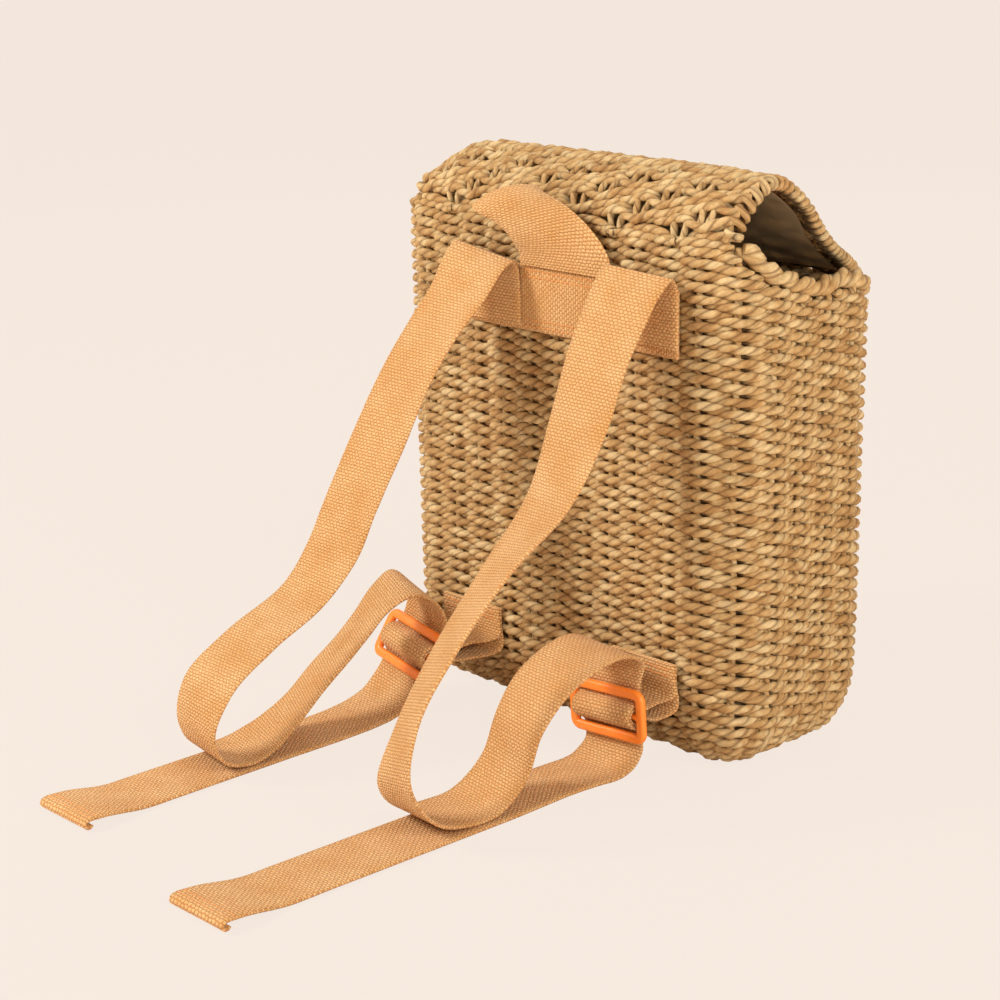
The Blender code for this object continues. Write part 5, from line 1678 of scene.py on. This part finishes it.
@dataclass
class Buckle:
    """A moulded three-bar buckle."""

    webbing: Webbing
    side: StrapSide
    plastic: bpy.types.Material
    width: float = 46 * MM
    rail: float = 4.6 * MM
    corner: float = 5.5 * MM
    fuller: float = 0.3 * MM

    def outline(self, width: float, height: float, radius: float, steps: int) -> list[Any]:
        """Return the points of a rectangle with round corners about the origin."""
        x, y = width / 2 - radius, height / 2 - radius
        points = []
        for centre_x, centre_y, start in ((x, y, 0), (-x, y, pi / 2), (-x, -y, pi),
                                          (x, -y, 3 * pi / 2)):
            points += [(centre_x + radius * cos(start + pi / 2 * step / steps),
                        centre_y + radius * sin(start + pi / 2 * step / steps))
                       for step in range(steps + 1)]
        return points

    def build(self) -> bpy.types.Object:
        """Mould the buckle."""
        web = self.webbing
        height, thickness = web.buckle_height, web.buckle_thickness
        bevel = thickness * 0.45
        slot = (height - 2 * web.buckle_bar - web.centre_bar) / 2
        middle = (slot + web.centre_bar) / 2
        curve = bpy.data.curves.new("buckle_outline", "CURVE")
        curve.dimensions = "2D"
        curve.fill_mode = "BOTH"
        curve.extrude = thickness / 2 - bevel
        curve.bevel_depth = bevel
        curve.bevel_resolution = 5
        outer = self.outline(self.width + 2 * (self.fuller - bevel),
                             height + 2 * (self.fuller - bevel), self.corner - bevel, 8)
        hole = self.outline(self.width - 2 * self.rail + 2 * bevel, slot + 2 * bevel,
                            bevel * 1.25, 6)
        for points, shift in ((outer, 0.0), (hole, middle), (hole, -middle)):
            line = curve.splines.new("POLY")
            line.points.add(len(points) - 1)
            line.use_cyclic_u = True
            for spot, (x, y) in zip(line.points, points):
                spot.co = (x, y + shift, 0, 1)
        drawn = bpy.data.objects.new("buckle_outline", curve)
        bpy.context.scene.collection.objects.link(drawn)
        graph = bpy.context.evaluated_depsgraph_get()
        mesh = bpy.data.meshes.new_from_object(drawn.evaluated_get(graph))
        bpy.data.objects.remove(drawn, do_unlink=True)
        shape = bmesh.new()
        shape.from_mesh(mesh)
        bmesh.ops.remove_doubles(shape, verts=shape.verts, dist=0.01 * MM)
        across, outward, upward = web.axes(self.side)
        stand = Matrix((across, upward, -outward)).transposed().to_4x4()
        move = Matrix.Translation(web.centre(self.side)) @ stand
        bmesh.ops.transform(shape, matrix=move, verts=shape.verts)
        bmesh.ops.recalc_face_normals(shape, faces=shape.faces)
        shape.to_mesh(mesh)
        shape.free()
        mesh.materials.clear()
        mesh.materials.append(self.plastic)
        mesh.shade_smooth()
        mesh.set_sharp_from_angle(angle=radians(50))
        name = "slider_" + self.side.name
        body = Body.BUCKLE_LEFT if self.side.name == "left" else Body.BUCKLE_RIGHT
        return settle(link_piece(name, mesh), body, Slot.BUCKLE, "buckle_" + self.side.name)


@dataclass(frozen=True)
class Studio:
    """The floor, the soft lamps and the camera."""

    backdrop: str = "F5E9DF"
    eye: tuple[float, float, float] = (-0.7429, 0.7735, 0.4071)
    forward: tuple[float, float, float] = (0.7057, -0.6535, -0.2736)
    up: tuple[float, float, float] = (0.1896, -0.1979, 0.9617)
    lens: float = 83.61

    def camera(self) -> None:
        """Set up the camera."""
        data = bpy.data.cameras.new("camera")
        data.sensor_width = 36.0
        data.lens = self.lens
        data.clip_start = 0.01
        camera = bpy.data.objects.new("camera", data)
        bpy.context.scene.collection.objects.link(camera)
        back = -Vector(self.forward).normalized()
        right = Vector(self.up).cross(back).normalized()
        up = back.cross(right)
        turn = Matrix((right, up, back)).transposed().to_4x4()
        camera.matrix_world = Matrix.Translation(self.eye) @ turn
        bpy.context.scene.camera = camera

    def floor(self) -> None:
        """Lay the floor, which keeps a pale share of the object's shadow."""
        size = 12.0
        mesh = bpy.data.meshes.new("floor")
        mesh.from_pydata([(-size, -size, 0), (size, -size, 0), (size, size, 0),
                          (-size, size, 0)], [], [(0, 1, 2, 3)])
        mesh.transform(Matrix.Translation((0, 0, -0.4 * MM)))
        material = bpy.data.materials.new("paper_floor")
        material.use_nodes = True
        tree = material.node_tree
        tree.nodes.clear()
        matt = add_node(tree, "ShaderNodeBsdfDiffuse", {"Color": srgb(self.backdrop)})
        glow = add_node(tree, "ShaderNodeEmission", {"Color": srgb(self.backdrop),
                                                     "Strength": 1.0})
        ray = add_node(tree, "ShaderNodeLightPath")
        share = add_node(tree, "ShaderNodeMath", {0: ray.outputs["Is Camera Ray"], 1: 0.96},
                         operation="MULTIPLY")
        mixed = add_node(tree, "ShaderNodeMixShader",
                         {0: share.outputs[0], 1: matt.outputs[0], 2: glow.outputs[0]})
        add_node(tree, "ShaderNodeOutputMaterial", {"Surface": mixed.outputs[0]})
        mesh.materials.append(material)
        link_piece("floor", mesh)

    def lamp(self, name: str, place: tuple[float, float, float], size: float,
             power: float, colour: str) -> None:
        """Hang a square soft lamp that faces the basket."""
        data = bpy.data.lights.new(name, "AREA")
        data.shape = "SQUARE"
        data.size = size
        data.energy = power
        data.color = srgb(colour)[:3]
        lamp = bpy.data.objects.new(name, data)
        bpy.context.scene.collection.objects.link(lamp)
        lamp.location = place
        aim = Vector((0, 0.05, 0.12)) - Vector(place)
        lamp.rotation_euler = aim.to_track_quat("-Z", "Y").to_euler()

    def world(self) -> None:
        """Fill the world with soft light and show the backdrop's colour."""
        world = bpy.data.worlds.new("studio")
        world.use_nodes = True
        tree = world.node_tree
        tree.nodes.clear()
        ray = add_node(tree, "ShaderNodeLightPath")
        seen = add_node(tree, "ShaderNodeMath", {0: ray.outputs["Is Camera Ray"],
                                                 1: ray.outputs["Is Glossy Ray"]},
                        operation="MAXIMUM")
        soft = add_node(tree, "ShaderNodeBackground", {"Color": srgb("FFE4C8"),
                                                       "Strength": 0.52})
        shown = add_node(tree, "ShaderNodeBackground", {"Color": srgb(self.backdrop),
                                                        "Strength": 1.0})
        mixed = add_node(tree, "ShaderNodeMixShader",
                         {0: seen.outputs[0], 1: soft.outputs[0], 2: shown.outputs[0]})
        add_node(tree, "ShaderNodeOutputWorld", {"Surface": mixed.outputs[0]})
        bpy.context.scene.world = world

    def build(self) -> None:
        """Set up the studio."""
        self.camera()
        self.floor()
        self.world()
        self.lamp("key", (0.9, 1.2, 1.15), 0.45, 27.0, "FFF8F0")
        self.lamp("fill", (-1.4, 0.35, 0.8), 0.9, 18.0, "FFF8F0")
        self.lamp("front", (0.8, -1.2, 0.9), 1.0, 5.0, "FFF8F0")
        bpy.context.scene.view_settings.view_transform = "Standard"


def main() -> None:
    """Dress the basket and report each piece."""
    logging.basicConfig(level=logging.INFO, format="%(message)s")
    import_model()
    shape = BodyShape()
    lid = LidShape(shape)
    rope = PaperRopeFinish().material()
    cloth = WebbingFinish().material()
    lining = LiningFinish().material()
    tree = RopeTree()
    WovenBody(shape, rope, tree).build()
    RimBorder(shape, rope, tree).build()
    WovenLid(lid, rope, tree).build()
    Lining(shape, lid, lining).build()
    webbing = Webbing(shape, cloth)
    webbing.build()
    Stitching(webbing, ThreadFinish().material()).build()
    plastic = MouldedPlasticFinish().material()
    for side in (LEFT_SIDE, RIGHT_SIDE):
        Buckle(webbing, side, plastic).build()
    Studio().build()


if __name__ == "__main__":
    main()
